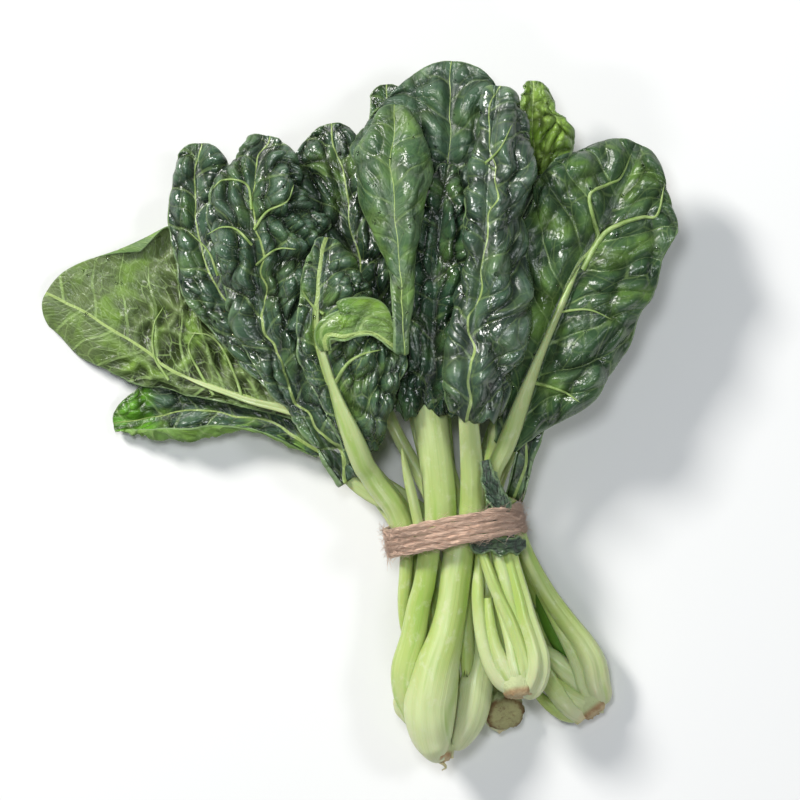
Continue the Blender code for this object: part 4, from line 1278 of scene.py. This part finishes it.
STALKS = [
    Stalk(
        "a",
        [(32, -138.8, 24, 6.4), (30, -135.2, 28, 12), (28.4, -130, 30.5, 17.2), (27.4, -123.6, 33, 20),
         (27.2, -117.2, 34, 21.2), (28.2, -111.2, 34.5, 20.4), (30.4, -100, 34.5, 17.6),
         (33.4, -89.2, 34.5, 14.2), (36, -76.8, 34.5, 12.4), (38, -61.2, 34.5, 12.4),
         (39.6, -48, 34.5, 11.6)],
        shade=(0.1, 2.0), wrap=0.85,
    ),
    Stalk(
        "a",
        [(31.2, -136.4, 22, 4.8), (24.8, -128, 22, 9.6), (19.2, -118.8, 24, 10.8),
         (16.4, -110, 26.5, 11.2), (16.6, -101.2, 28, 12.4), (19.6, -89.2, 29, 11),
         (21.8, -76.8, 30, 9.8), (24.2, -67.6, 31, 9.2), (25.6, -58, 32, 9.2), (26.6, -50, 33, 9.2)],
        shade=(0.2, 2.0), roll=-25,
    ),
    Stalk(
        "a",
        [(18, -90, 22, 3.2), (16.8, -82.8, 23, 4), (16.8, -74, 24, 5.2), (17.6, -64, 25, 5.6),
         (18, -56, 25, 5.6), (18.4, -50, 25, 5.2)],
        shade=(1.4, 2.0),
    ),
    Stalk(
        "a",
        [(37.2, -134.8, 21, 4.8), (40.4, -130, 22, 9.6), (43.6, -123.6, 23, 13.2),
         (45.6, -116.4, 23.5, 14.4), (46.8, -108, 23.5, 14), (48, -99.6, 23, 10.8), (48.8, -90, 22, 7.2),
         (48, -74, 21, 5.6)],
        shade=(0.1, 1.1), roll=20,
    ),
    Stalk(
        "a",
        [(42, -103.2, 26, 3.6), (42, -96, 26.5, 6), (41.6, -86, 26.5, 6.4), (41.6, -74, 26, 5.6),
         (42, -60, 27, 4.8)],
        shade=(1.0, 2.0), torn=True,
    ),
    Stalk(
        "a",
        [(17.2, -122.8, 23, 1.6), (15.2, -119.2, 24, 3.6), (13.6, -116, 24.5, 2.4),
         (12.8, -114, 24.5, 0.8)],
        shade=(0.3, 0.3), torn=True,
    ),
    Stalk(
        "a",
        [(30, -139.2, 23, 1.2), (32.4, -140, 23, 1.4), (33.6, -141.6, 22, 1), (32, -142.8, 22, 0.4)],
        shade=(0.0, 0.0),
    ),
    Stalk(
        "b",
        [(64, -111.6, 33, 3.2), (60, -110, 34, 6.8), (55.2, -106.8, 35, 7.2), (51.2, -101.2, 35.5, 6),
         (48.6, -94, 35.5, 5.6), (46.8, -84, 35, 5.6), (45.9, -74, 34.5, 5.2), (46, -67.2, 34, 5),
         (46.3, -60.4, 33.5, 3.6), (46.8, -52, 32, 3.2)],
        shade=(0.1, 1.5), roll=-25,
    ),
    Stalk(
        "b",
        [(64.8, -113.2, 33, 5.6), (68.4, -109.6, 36, 9.6), (70.8, -103.2, 38, 10.4),
         (71, -96.4, 38.5, 9.6), (69.2, -89.2, 38, 8.4), (66.4, -80.8, 37.5, 8), (64.4, -72.8, 37, 7.2),
         (61.6, -63.2, 36, 6.8), (58.8, -53.2, 35, 6.8), (57.2, -46.8, 34.5, 6.8)],
        shade=(0.1, 1.9), roll=20, groove=0.16,
    ),
    Stalk(
        "b",
        [(63.2, -110.8, 34.5, 3.2), (59.6, -106, 36.5, 5.6), (56, -98.8, 36.5, 6), (53.2, -92, 36, 5.2),
         (51.6, -85.2, 35.5, 4.6), (50.8, -78.8, 35, 4), (50.4, -73.2, 34.5, 3.2)],
        shade=(0.2, 1.5),
    ),
    Stalk(
        "b",
        [(64, -110.8, 35, 3.2), (62, -104.4, 37.5, 5.6), (60.4, -98, 37.5, 4.8), (58.8, -90.8, 37, 3.8),
         (56.8, -84, 36.5, 3), (54.8, -78, 36, 2.4), (53.2, -73.2, 35.5, 2)],
        shade=(0.2, 1.2),
    ),
    Stalk(
        "b",
        [(66, -110, 35.5, 3.2), (65.2, -102.8, 38, 5.6), (64, -96, 38.5, 5.2), (61.6, -88.4, 38.5, 5.2),
         (58.4, -80.4, 38.5, 5.2), (54.8, -72.8, 38.5, 5), (52.2, -66.8, 38.5, 4.8),
         (50, -60.4, 38, 4.4), (47, -52.4, 36.5, 3.6), (45.6, -47.6, 35, 3.2)],
        shade=(0.6, 2.0), groove=0.1,
    ),
    Stalk(
        "b",
        [(64.4, -93.2, 36.5, 3.2), (62, -84, 36.5, 5.2), (59.6, -76.4, 36.5, 6), (58, -70.8, 36.5, 6.2),
         (56.4, -63.6, 36, 6.4), (54, -55.2, 35.5, 4.8), (52.8, -50, 35, 4)],
        shade=(1.4, 2.0),
    ),
    Stalk(
        "c",
        [(96.8, -117.2, 8, 5.6), (96.8, -113.2, 10.5, 9.6), (95.2, -107.6, 12.5, 11.2),
         (93.6, -99.6, 14, 10.8), (89.6, -92, 15, 9.6), (83.6, -84, 16, 8.4), (77.2, -75.2, 17, 7.6),
         (72.8, -68, 17.5, 6.8), (68.4, -59.6, 18, 6), (65.6, -53.2, 18, 5.6), (63.2, -46, 18, 5.2)],
        shade=(0.1, 2.0), roll=15, groove=0.12,
    ),
    Stalk(
        "c",
        [(91.2, -114, 11, 3.2), (88.4, -109.2, 13, 4.4), (87.2, -104.4, 13.5, 5), (85.2, -98, 14, 4.8),
         (82, -91.2, 14.5, 4.4), (78, -84, 14.5, 3.6), (74.8, -78, 15, 3.2), (71.2, -71.2, 15.5, 2.8),
         (67.6, -64, 16, 2.8), (64.8, -56.4, 16.5, 2.8)],
        shade=(0.3, 2.0),
    ),
    Stalk(
        "c",
        [(87.2, -104.4, 7, 3.2), (84.4, -98.8, 7.5, 6.4), (80, -90, 8, 9.6), (75.6, -80, 8.5, 9.6),
         (71.6, -70, 9, 7.2), (68.8, -62, 9.5, 4)],
        # This stalk lies deep inside head c and gets painted shade
        shade=(1.9, 2.0), deep=True,
    ),
    Stalk(
        "c",
        [(92.8, -114, 9, 3.2), (88.4, -110, 11, 6.4), (83.6, -105.6, 11.5, 8.4), (78.4, -101.2, 11, 9.6),
         (73.6, -97.6, 10, 8.8), (69.6, -94, 9, 7.2)],
        shade=(0.1, 1.0), roll=-15,
    ),
    Stalk(
        "c",
        [(95.2, -117.2, 8, 4), (92, -118, 9.5, 6.4), (87.2, -116.4, 11, 8), (82.4, -113.6, 11.5, 8),
         (77.6, -109.6, 11, 7.2), (73.2, -105.6, 10, 6), (70.4, -102, 9, 4.8)],
        shade=(0.2, 1.5), roll=-20,
    ),
    Stalk(
        "c",
        [(92, -120.4, 6, 2.4), (86.8, -122.8, 7, 4), (82, -122, 7.5, 5.2), (78, -119.6, 7.5, 5.6),
         (74.4, -116.8, 7.5, 5.2), (71.2, -113.6, 7.5, 4), (68.4, -110, 7, 3.2)],
        shade=(0.4, 1.6), roll=-30,
    ),
]

# Leaves whose stalks below the tie are in the table above
SHOWN_BELOW = {
    "leaf_tall_right",
    "leaf_dark_centre",
    "leaf_smooth_centre",
    "leaf_back_left",
    "leaf_wide_right",
    "leaf_tucked",
    "leaf_low_right",
    "leaf_tall_back",
    "leaf_front_left",
    "leaf_back_centre",
}
# Stalks of which only so much past the tie shows, the rest being under other leaves
STALK_LENGTH = {"leaf_smooth_centre": 37.0}


def stalk_section(stalk, width, run, turn, seed):
    """Where the points round a stalk of the table are: to its side, outward and ahead."""
    swing = -np.cos(turn)
    bulge = np.sqrt(np.clip(1 - np.abs(swing) ** SECTION_POWER, 0, 1))
    thickness = np.clip(0.5 * width, 1.5, 7.0)
    front = 0.5 * bulge * thickness - stalk.groove * width * np.exp(-((swing - 0.1) ** 2) / 0.06)
    front = front + 0.005 * width * np.cos(8 * swing + seed) * bulge
    depth = np.where(np.sin(turn) >= 0, front, -0.5 * bulge * thickness)
    side, inward = crescent(width, stalk.wrap, swing)
    depth = depth + inward
    if stalk.torn:
        return side, depth, 2.2 * line_noise(swing * 4.0, seed) * np.exp(-run / 3.0)
    round_end = np.sqrt(np.clip(1 - (1 - np.clip(run / 2.5, 0, 1)) ** 2, 0.02, 1))
    return side * round_end, depth * round_end, 0 * swing


def shown_stalk(stalk, seed):
    """Rings of points round one stalk of the table, and what its material reads at each of them."""
    path = smooth_path(stalk.knots, 10)
    line, width = path[:, :3], np.maximum(path[:, 3:], 0.3)
    run = lengths_along(line)[:, None]
    turn = full_turn(PETIOLE_POINTS)
    side, depth, jagged = stalk_section(stalk, width, run, turn, seed)
    ahead = unit(np.gradient(line, axis=0))
    lean = math.radians(stalk.roll)
    right = unit(np.cross(ahead, UP))
    above = np.cross(right, ahead)
    out = math.cos(lean) * above + math.sin(lean) * right
    beside = math.cos(lean) * right - math.sin(lean) * above
    rings = off_line(line, (side, beside), (depth, out), (jagged, ahead))
    share = stalk.shade[0] + (stalk.shade[1] - stalk.shade[0]) * run / run[-1]
    flow = np.stack([run + 0 * turn, side + STALK_APART * seed + 0 * run, share + 0 * turn], axis=-1)
    return rings, flow


def grown_stalk(leaf, look, route, lift):
    """The same for the stalk and midrib of one leaf. Where its lower part is in the table it starts in
    the tie."""
    start = route.at_tie - 5.0 if leaf.name in SHOWN_BELOW else 0.0
    end = route.at_base + look.rib_end * (route.length - route.at_base)
    if leaf.name in STALK_LENGTH:
        end = route.at_tie + STALK_LENGTH[leaf.name]
    run = np.linspace(start, end, int((end - start) / PETIOLE_STEP))
    rings = petiole_rings(leaf, route, run, PETIOLE_POINTS)
    middle = rings.mean(axis=1, keepdims=True)
    slimmer = np.sqrt(np.clip((end - run) / 14.0, 0.02, 1))[:, None, None]
    rings = lifted(middle + slimmer * (rings - middle), lift)
    turn = full_turn(PETIOLE_POINTS)
    marks = [0, route.at_bulb, route.at_tie, route.at_base, route.at_rib_end]
    share = eased(run, marks, [0.0, 1.0, 2.0, 3.0, 4.0])
    across = -np.cos(turn) * stalk_sizes(leaf, route, run)[0][:, None] / 2 + STALK_APART * leaf.seed
    return rings, np.stack([run[:, None] + 0 * turn, across, share[:, None] + 0 * turn], axis=-1)


def make_stalks(letter, laid, materials):
    """The stalks and midribs of one head, each a smooth rounded crescent, gathered in one piece."""
    made = [
        (*grown_stalk(leaf, look, route, lift), False)
        for leaf, look, route, _, lift in laid
        if leaf.head == letter and leaf.name not in SCRAPS
    ]
    made += [
        (*shown_stalk(stalk, FIRST_STALK_SEED + i), stalk.deep)
        for i, stalk in enumerate(STALKS)
        if stalk.head == letter
    ]
    tubes = [above_table(rings, STALK_CLEARANCE) for rings, _, _ in made]
    mesh = join_tubes("petioles_" + letter, tubes, flow=[flow for _, flow, _ in made])
    # Stalks deep inside the head take the second material, which paints shade on them
    kinds = [int(deep) for rings, _, deep in made for _ in range((len(rings) - 1) * PETIOLE_POINTS)]
    mesh.polygons.foreach_set("material_index", kinds)
    shape = bmesh.new()
    shape.from_mesh(mesh)
    bmesh.ops.holes_fill(shape, edges=[edge for edge in shape.edges if edge.is_boundary])
    bmesh.ops.recalc_face_normals(shape, faces=shape.faces)
    shape.to_mesh(mesh)
    shape.free()
    mesh.shade_smooth()
    mesh.set_sharp_from_angle(angle=SHARP_ANGLE)
    place_object(mesh, materials, "stalk", "stalks_" + letter)


# The cut stems: where each face is, the way it looks, and its radius
BUTTS = {
    "a": ((31.5, -137.5, 25.0), (0.10, -0.95, 0.28), 5.2),
    "b": ((63.3, -111.2, 34.0), (0.16, -0.97, 0.20), 6.8),
    "c": ((94.2, -119.2, 8.0), (0.60, -0.78, 0.15), 6.0),
    "d": ((57.8, -120.8, 11.5), (0.24, -0.40, 0.88), 8.2),
}
BUTT_SIDES = 40
# The profile of a cut stem, from its end inside the head over the rim to the middle of the face: how deep
# each ring is, and its share of the radius
BUTT_DEPTHS = (13.0, 12.5, 11.0, 8.0, 4.5, 2.0, 0.6, -0.3, -0.9, -1.3, -1.4, -1.2, -1.0)
BUTT_WIDTHS = (0.02, 0.30, 0.60, 0.84, 0.94, 0.95, 0.92, 0.86, 0.76, 0.60, 0.42, 0.22, 0.02)


def make_butt(letter, material):
    """The cut stem at the heart of a head: a lumpy disc with a torn, browned rim."""
    butt, facing, radius = BUTTS[letter]
    ahead = -unit(np.array(facing))
    right = unit(np.cross(ahead, UP))
    above = np.cross(right, ahead)
    seed = ord(letter)
    turn = full_turn(BUTT_SIDES)
    depth, wide = np.array(BUTT_DEPTHS)[:, None], np.array(BUTT_WIDTHS)[:, None]
    lumps = value_noise(turn * 2.2 + 0 * depth, depth / 3 + 0 * turn, seed)
    lumps = lumps + 0.5 * value_noise(turn * 6, depth, seed)
    reach = radius * wide * (1 + 0.12 * lumps)
    depth = depth + 0.8 * value_noise(reach * np.cos(turn) / 1.6, reach * np.sin(turn) / 1.6, seed)
    rings = (
        butt
        + depth[..., None] * ahead
        + (reach * np.cos(turn))[..., None] * right
        + (reach * np.sin(turn))[..., None] * above
    )
    cut = np.stack([depth + 0 * turn, reach / radius, 0 * reach], axis=-1)
    mesh = join_tubes("butt_" + letter, [above_table(rings, STALK_CLEARANCE)], cut=[cut])
    place_object(mesh, [material], "stalk")


STRAND_COUNT = 16
STRAND_RADIUS = 0.26
CORE_RADIUS = 0.85
CORE_SIDES = 8
TWINE_START = -2.2
STRAND_SPREAD = 1.05
STRAND_PITCH = 26.0
STRAND_STEP = 1.4
STRAND_SIDES = 5


def tie_point(angle, shift, reach):
    """Points on the ring round the stalks, reach outside its inner line and shift along the bunch."""
    cosine, sine = np.cos(angle), np.sin(angle)
    power = 2 / TIE_SQUARENESS
    across = (TIE_HALF_WIDTH + reach) * np.sign(cosine) * np.abs(cosine) ** power
    height = (TIE_HALF_HEIGHT + reach) * np.sign(sine) * np.abs(sine) ** power
    return (
        TIE_CENTRE
        + across[..., None] * TIE_ACROSS
        + height[..., None] * UP
        + np.asarray(shift)[..., None] * TIE_ALONG
    )


def tube_points(line, radius, sides, out):
    """Rings round a line of points. out is a direction off the line at each of them."""
    ahead = unit(np.gradient(line, axis=0))
    out = unit(out - np.sum(out * ahead, axis=1, keepdims=True) * ahead)
    beside = np.cross(ahead, out)
    turn = full_turn(sides)[..., None]
    ring = np.cos(turn) * out[:, None] + np.sin(turn) * beside[:, None]
    return line[:, None] + np.asarray(radius).reshape(-1, 1, 1) * ring


def fibre_mesh(name, tubes):
    """One mesh of many fibres. The material reads how far along one a point is, how far round it, and
    which it is."""
    tubes = [above_table(rings, TABLE_CLEARANCE) for rings in tubes]
    flow = []
    for number, rings in enumerate(tubes):
        sides = rings.shape[1]
        run = lengths_along(rings.mean(axis=1))[:, None] + np.zeros((1, sides))
        turn = np.linspace(0, 1, sides, endpoint=False)[None, :] + 0 * run
        flow.append(np.stack([run, turn, 0 * run + number], axis=-1))
    return join_tubes(name, tubes, flow=flow)


def twine_line(turns):
    """Middle line of the wound twine and the direction out of the ring, at each number of turns."""
    angle = TWINE_START + 2 * np.pi * turns
    wander = 0.25 * line_noise(turns * 3, 3) + 0.15 * line_noise(turns * 13, 4)
    shift = (turns - TWINE_TURNS / 2) * TWINE_PITCH + wander
    reach = TWINE_DIAMETER / 2 + TWINE_GAP + 0.25 * value_noise(turns * 7, 0 * turns + 5, 6)
    line = tie_point(angle, shift, reach)
    out = unit(line - tie_point(angle, shift, reach - 4.0))
    return line, out


def make_twine(material):
    """Five turns of loosely twisted twine round the stalks, its strands wandering between the turns."""
    length = TWINE_TURNS * 2 * np.pi * (TIE_HALF_WIDTH + TIE_HALF_HEIGHT) / 2 * 1.1
    turns = np.linspace(0, TWINE_TURNS, int(length / STRAND_STEP))
    line, out = twine_line(turns)
    run = lengths_along(line)
    ahead = unit(np.gradient(line, axis=0))
    beside = np.cross(ahead, out)
    tubes = []
    for strand in range(STRAND_COUNT):
        start = strand * 2.4
        spread = STRAND_SPREAD * math.sqrt((strand + 0.5) / STRAND_COUNT)
        phase = 2 * np.pi * run / STRAND_PITCH + start + 0.9 * line_noise(run / 11, strand)
        wide = spread * (1 + 0.35 * line_noise(run / 8, 11 + strand))
        aside = wide * np.sin(phase) * 1.15 + 0.25 * line_noise(run / 5, 41 + strand)
        offset = (wide * np.cos(phase) * 0.8)[:, None] * out + aside[:, None] * beside
        radius = STRAND_RADIUS * (1 + 0.3 * line_noise(run / 4, 21 + strand))
        tubes.append(tube_points(line + offset, radius, STRAND_SIDES, out))
    tubes.append(tube_points(line, CORE_RADIUS + 0 * run, CORE_SIDES, out))
    mesh = fibre_mesh("jute_twine", tubes)
    place_object(mesh, [material], "twine", "twine")


FUZZ_COUNT = 2200
FUZZ_POINTS = 6
FUZZ_SEED = 7
FUZZ_LENGTH = (2.0, 9.0)
FUZZ_RADIUS = (0.04, 0.11)


def fibre(draw):
    """One short fibre that starts on the twine and stands off it."""
    turns = draw.uniform(0, TWINE_TURNS)
    line, out = twine_line(np.array([turns, turns + 0.004]))
    ahead, out = unit(line[1] - line[0]), out[0]
    beside = np.cross(ahead, out)
    length = draw.uniform(*FUZZ_LENGTH)
    lean = draw.uniform(-1, 1)
    course = ahead * draw.choice([-1, 1]) + beside * 0.7 * lean + out * draw.uniform(-0.10, 0.28)
    bend = out * draw.uniform(-0.9, 0.3) + beside * draw.uniform(-0.8, 0.8)
    t = np.linspace(0, 1, FUZZ_POINTS)[:, None]
    start = line[0] + out * draw.uniform(0.7, 1.15) + beside * draw.uniform(-0.9, 0.9)
    middle = start + length * (t * unit(course) + 0.35 * t**2 * bend)
    radius = draw.uniform(*FUZZ_RADIUS) * (1 - 0.6 * t[:, 0])
    return tube_points(middle, radius, 3, out + 0 * middle)


def make_fuzz(material):
    draw = np.random.RandomState(FUZZ_SEED)
    mesh = fibre_mesh("jute_fuzz", [fibre(draw) for _ in range(FUZZ_COUNT)])
    place_object(mesh, [material], "twine")


@dataclass
class Vein:
    """A stout vein that stands on one blade: its places (x, y) from the root up, and its width at both
    ends."""

    leaf: str
    places: list
    wide: tuple


VEINS = [
    Vein(
        "leaf_wide_right",
        [(88, 58), (96, 71.5), (104, 76.5), (112, 79), (118, 80), (121, 92.5)],
        (2.6, 0.7),
    ),
    Vein(
        "leaf_wide_right",
        [(88, 58), (94, 70), (92, 79), (91, 88), (98, 92), (103.5, 95), (108, 105)],
        (2.4, 0.6),
    ),
    Vein("leaf_wide_right", [(66, 13.5), (74, 11.5), (81, 9), (87, 5)], (1.8, 0.5)),
    Vein("leaf_wide_right", [(78, 41), (90, 42), (100, 38)], (1.2, 0.4)),
    Vein("leaf_front_left", [(-14.8, 28), (-9, 31), (-2, 33.5), (6, 33), (12, 28)], (2.6, 0.8)),
    Vein("leaf_front_left", [(-11, 12), (-6, 20), (0, 24), (8, 26)], (1.8, 0.5)),
    Vein("leaf_front_left", [(-15, 40), (-20, 44), (-24, 50)], (1.4, 0.5)),
    Vein("leaf_crinkled_left", [(-44, 68), (-50, 74), (-56, 75), (-62, 72)], (1.2, 0.4)),
    Vein("leaf_crinkled_left", [(-43, 74), (-38, 81), (-30, 85), (-27, 92)], (1.3, 0.4)),
    Vein("leaf_crinkled_left", [(-44, 82), (-46, 92), (-55, 94), (-60, 90)], (1.3, 0.4)),
    Vein("leaf_crinkled_left", [(-42, 60), (-34, 66), (-26, 66)], (1.1, 0.4)),
    Vein("leaf_wide_left", [(-60, 8), (-66, 18), (-70, 27), (-67, 34)], (1.4, 0.5)),
    Vein("leaf_wide_left", [(-78, 14), (-84, 24), (-84, 36), (-80, 44)], (1.3, 0.4)),
    Vein("leaf_wide_left", [(-48, 6), (-51, 15), (-56, 26), (-62, 32), (-72, 33)], (1.4, 0.5)),
    Vein("leaf_tall_right", [(49, 100), (55, 106), (60, 116)], (1.1, 0.3)),
    Vein("leaf_upper_left", [(-58, 56), (-62, 66), (-70, 74)], (1.2, 0.4)),
]
VEIN_SIDES = 8


def on_sheet(sheet, places):
    """The highest points of a blade near the places."""
    points = sheet.points.reshape(-1, 3)
    found = []
    for x, y in places:
        away = np.hypot(points[:, 0] - x, points[:, 1] - y)
        near = points[away < away.min() + 0.9]
        found.append((x, y, near[:, 2].max()))
    return np.array(found)


def make_veins(laid, material):
    """The stoutest side veins, each a slim rounded ridge lying along its blade."""
    sheets = {leaf.name: sheet for leaf, _, _, sheet, _ in laid}
    tubes = []
    for vein in VEINS:
        line = on_sheet(sheets[vein.leaf], smooth_path(vein.places, 9))
        for _ in range(3):
            line[1:-1, 2] = 0.5 * line[1:-1, 2] + 0.25 * (line[:-2, 2] + line[2:, 2])
        t = np.linspace(0, 1, len(line))
        radius = 0.5 * (vein.wide[0] * (1 - t) + vein.wide[1] * t) * np.clip((1 - t) * 12 + 0.1, 0, 1)
        line[:, 2] += BLADE_THICKNESS / 2 - 0.25 * radius
        tubes.append(tube_points(line, radius, VEIN_SIDES, UP + 0 * line))
    mesh = fibre_mesh("stout_veins", tubes)
    place_object(mesh, [material], "leaf")


def vein_material():
    paint = Paint("stout_vein")
    flow = paint.read("flow")[0]
    mottle = paint.noise(paint.scaled(flow, (0.25, 2.0, 5.0)), 1.0, 3.0)
    colour = paint.mix(paint.step(mottle, 0.35, 0.7), *STOUT_VEIN_COLOURS)
    normal = paint.bump(mottle, 0.3 * MM)
    return paint.finish(colour, 0.38, normal, Specular_IOR_Level=0.5)


DROP_COUNT = 420
DROP_SEED = 11
DROP_RINGS = 5
DROP_SIDES = 9
# The leaves below this one in the pile are hidden and stay dry
FIRST_WET = 3


def drop(draw, sheet):
    """Rings of points round one drop on the upper side of a blade."""
    rows, columns = sheet.points.shape[:2]
    i, j = draw.randint(2, rows - 2), draw.randint(2, columns - 2)
    ahead = unit(sheet.points[i + 1, j] - sheet.points[i - 1, j])
    right = unit(sheet.points[i, j + 1] - sheet.points[i, j - 1])
    normal = unit(np.cross(right, ahead))
    radius = draw.uniform(0.3, 0.9) ** 1.5 * 1.3
    lift = np.linspace(-0.35, 1.0, DROP_RINGS)[:, None]
    wide = radius * np.sqrt(np.clip(1 - lift**2, 0.0004, 1))
    turn = full_turn(DROP_SIDES)
    return (
        sheet.points[i, j]
        + normal * (BLADE_THICKNESS / 2)
        + (0.6 * radius * lift)[..., None] * normal
        + (wide * np.cos(turn))[..., None] * right
        + (wide * np.sin(turn))[..., None] * np.cross(normal, right)
    )


def make_droplets(laid, material):
    """Small beads of water on the upper sides of the blades."""
    draw = np.random.RandomState(DROP_SEED)
    wet = [sheet for leaf, _, _, sheet, _ in laid[FIRST_WET:] if leaf.name not in SCRAPS]
    drops = [drop(draw, wet[draw.randint(len(wet))]) for _ in range(DROP_COUNT)]
    place_object(join_tubes("droplets", drops), [material], "leaf")


# The view: straight down on the lying bunch, 0.32 m across
VIEW_CENTRE = Vector((15.2, 6.0, 35.0)) * MM
VIEW_WIDTH = 0.32
VIEW_DISTANCE = 3.0
SENSOR = 36.0
FLOOR_SIZE = 6.0
FLOOR_GAP = 0.0002
SKY_COLOUR = (0.80, 0.88, 1.0, 1.0)
SKY_STRENGTH = 0.12
# Name, place, size, power and colour
LIGHTS = (
    ("key", (-1.05, 0.95, 1.15), (0.40, 0.40), 34.0, (1.0, 0.98, 0.95)),
    ("overhead", (-0.15, 0.30, 2.0), (0.34, 0.34), 13.0, (0.92, 0.96, 1.0)),
    ("right", (1.0, 0.25, 1.4), (0.30, 0.30), 5.0, (0.93, 0.97, 1.0)),
    ("front", (0.15, -1.1, 1.3), (0.50, 0.25), 4.0, (1.0, 1.0, 1.0)),
)


def add_camera():
    data = bpy.data.cameras.new("camera")
    data.sensor_width = SENSOR
    data.lens = SENSOR * VIEW_DISTANCE / VIEW_WIDTH
    data.clip_start, data.clip_end = 0.1, 20.0
    camera = bpy.data.objects.new("camera", data)
    camera.location = VIEW_CENTRE + Vector((0, 0, VIEW_DISTANCE))
    bpy.context.scene.collection.objects.link(camera)
    bpy.context.scene.camera = camera


def add_light(name, place, size, power, colour):
    """A rectangular soft light that faces the bunch."""
    data = bpy.data.lights.new(name, "AREA")
    data.shape = "RECTANGLE"
    data.size, data.size_y = size
    data.energy = power
    data.color = colour
    light = bpy.data.objects.new(name, data)
    light.location = place
    light.rotation_mode = "QUATERNION"
    light.rotation_quaternion = (VIEW_CENTRE - Vector(place)).to_track_quat("-Z", "Y")
    bpy.context.scene.collection.objects.link(light)


def add_floor():
    """A plain pale floor."""
    shape = bmesh.new()
    bmesh.ops.create_grid(shape, x_segments=4, y_segments=4, size=FLOOR_SIZE / 2)
    mesh = bpy.data.meshes.new("floor")
    shape.to_mesh(mesh)
    shape.free()
    floor = bpy.data.objects.new("floor", mesh)
    floor.location.z = -FLOOR_GAP
    mesh.materials.append(floor_material())
    bpy.context.scene.collection.objects.link(floor)


def add_studio():
    """Soft light from all round and from the lights of the table."""
    world = bpy.data.worlds.new("studio")
    world.use_nodes = True
    background = world.node_tree.nodes["Background"]
    background.inputs["Color"].default_value = SKY_COLOUR
    background.inputs["Strength"].default_value = SKY_STRENGTH
    bpy.context.scene.world = world
    for light in LIGHTS:
        add_light(*light)
    bpy.context.scene.view_settings.view_transform = "Standard"


def main():
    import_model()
    reader = make_cell_reader()
    laid = settle(reader)
    for leaf, look, _, sheet, _ in laid:
        make_blade(leaf, look, sheet)
    petiole, shaded = petiole_material(False), petiole_material(True)
    dry = butt_material("cut_stem", TAN, BROWN)
    rimmed = butt_material("browned_stem", OLIVE, DARK_BROWN)
    for letter in HEADS:
        make_stalks(letter, laid, [petiole, shaded])
        make_butt(letter, rimmed if letter == "d" else dry)
    make_twine(jute_material("jute", *JUTE_COLOURS))
    make_fuzz(jute_material("jute_fibre", *FIBRE_COLOURS))
    make_veins(laid, vein_material())
    make_droplets(laid, water_material())
    bpy.data.node_groups.remove(reader)
    add_floor()
    add_studio()
    add_camera()


main()
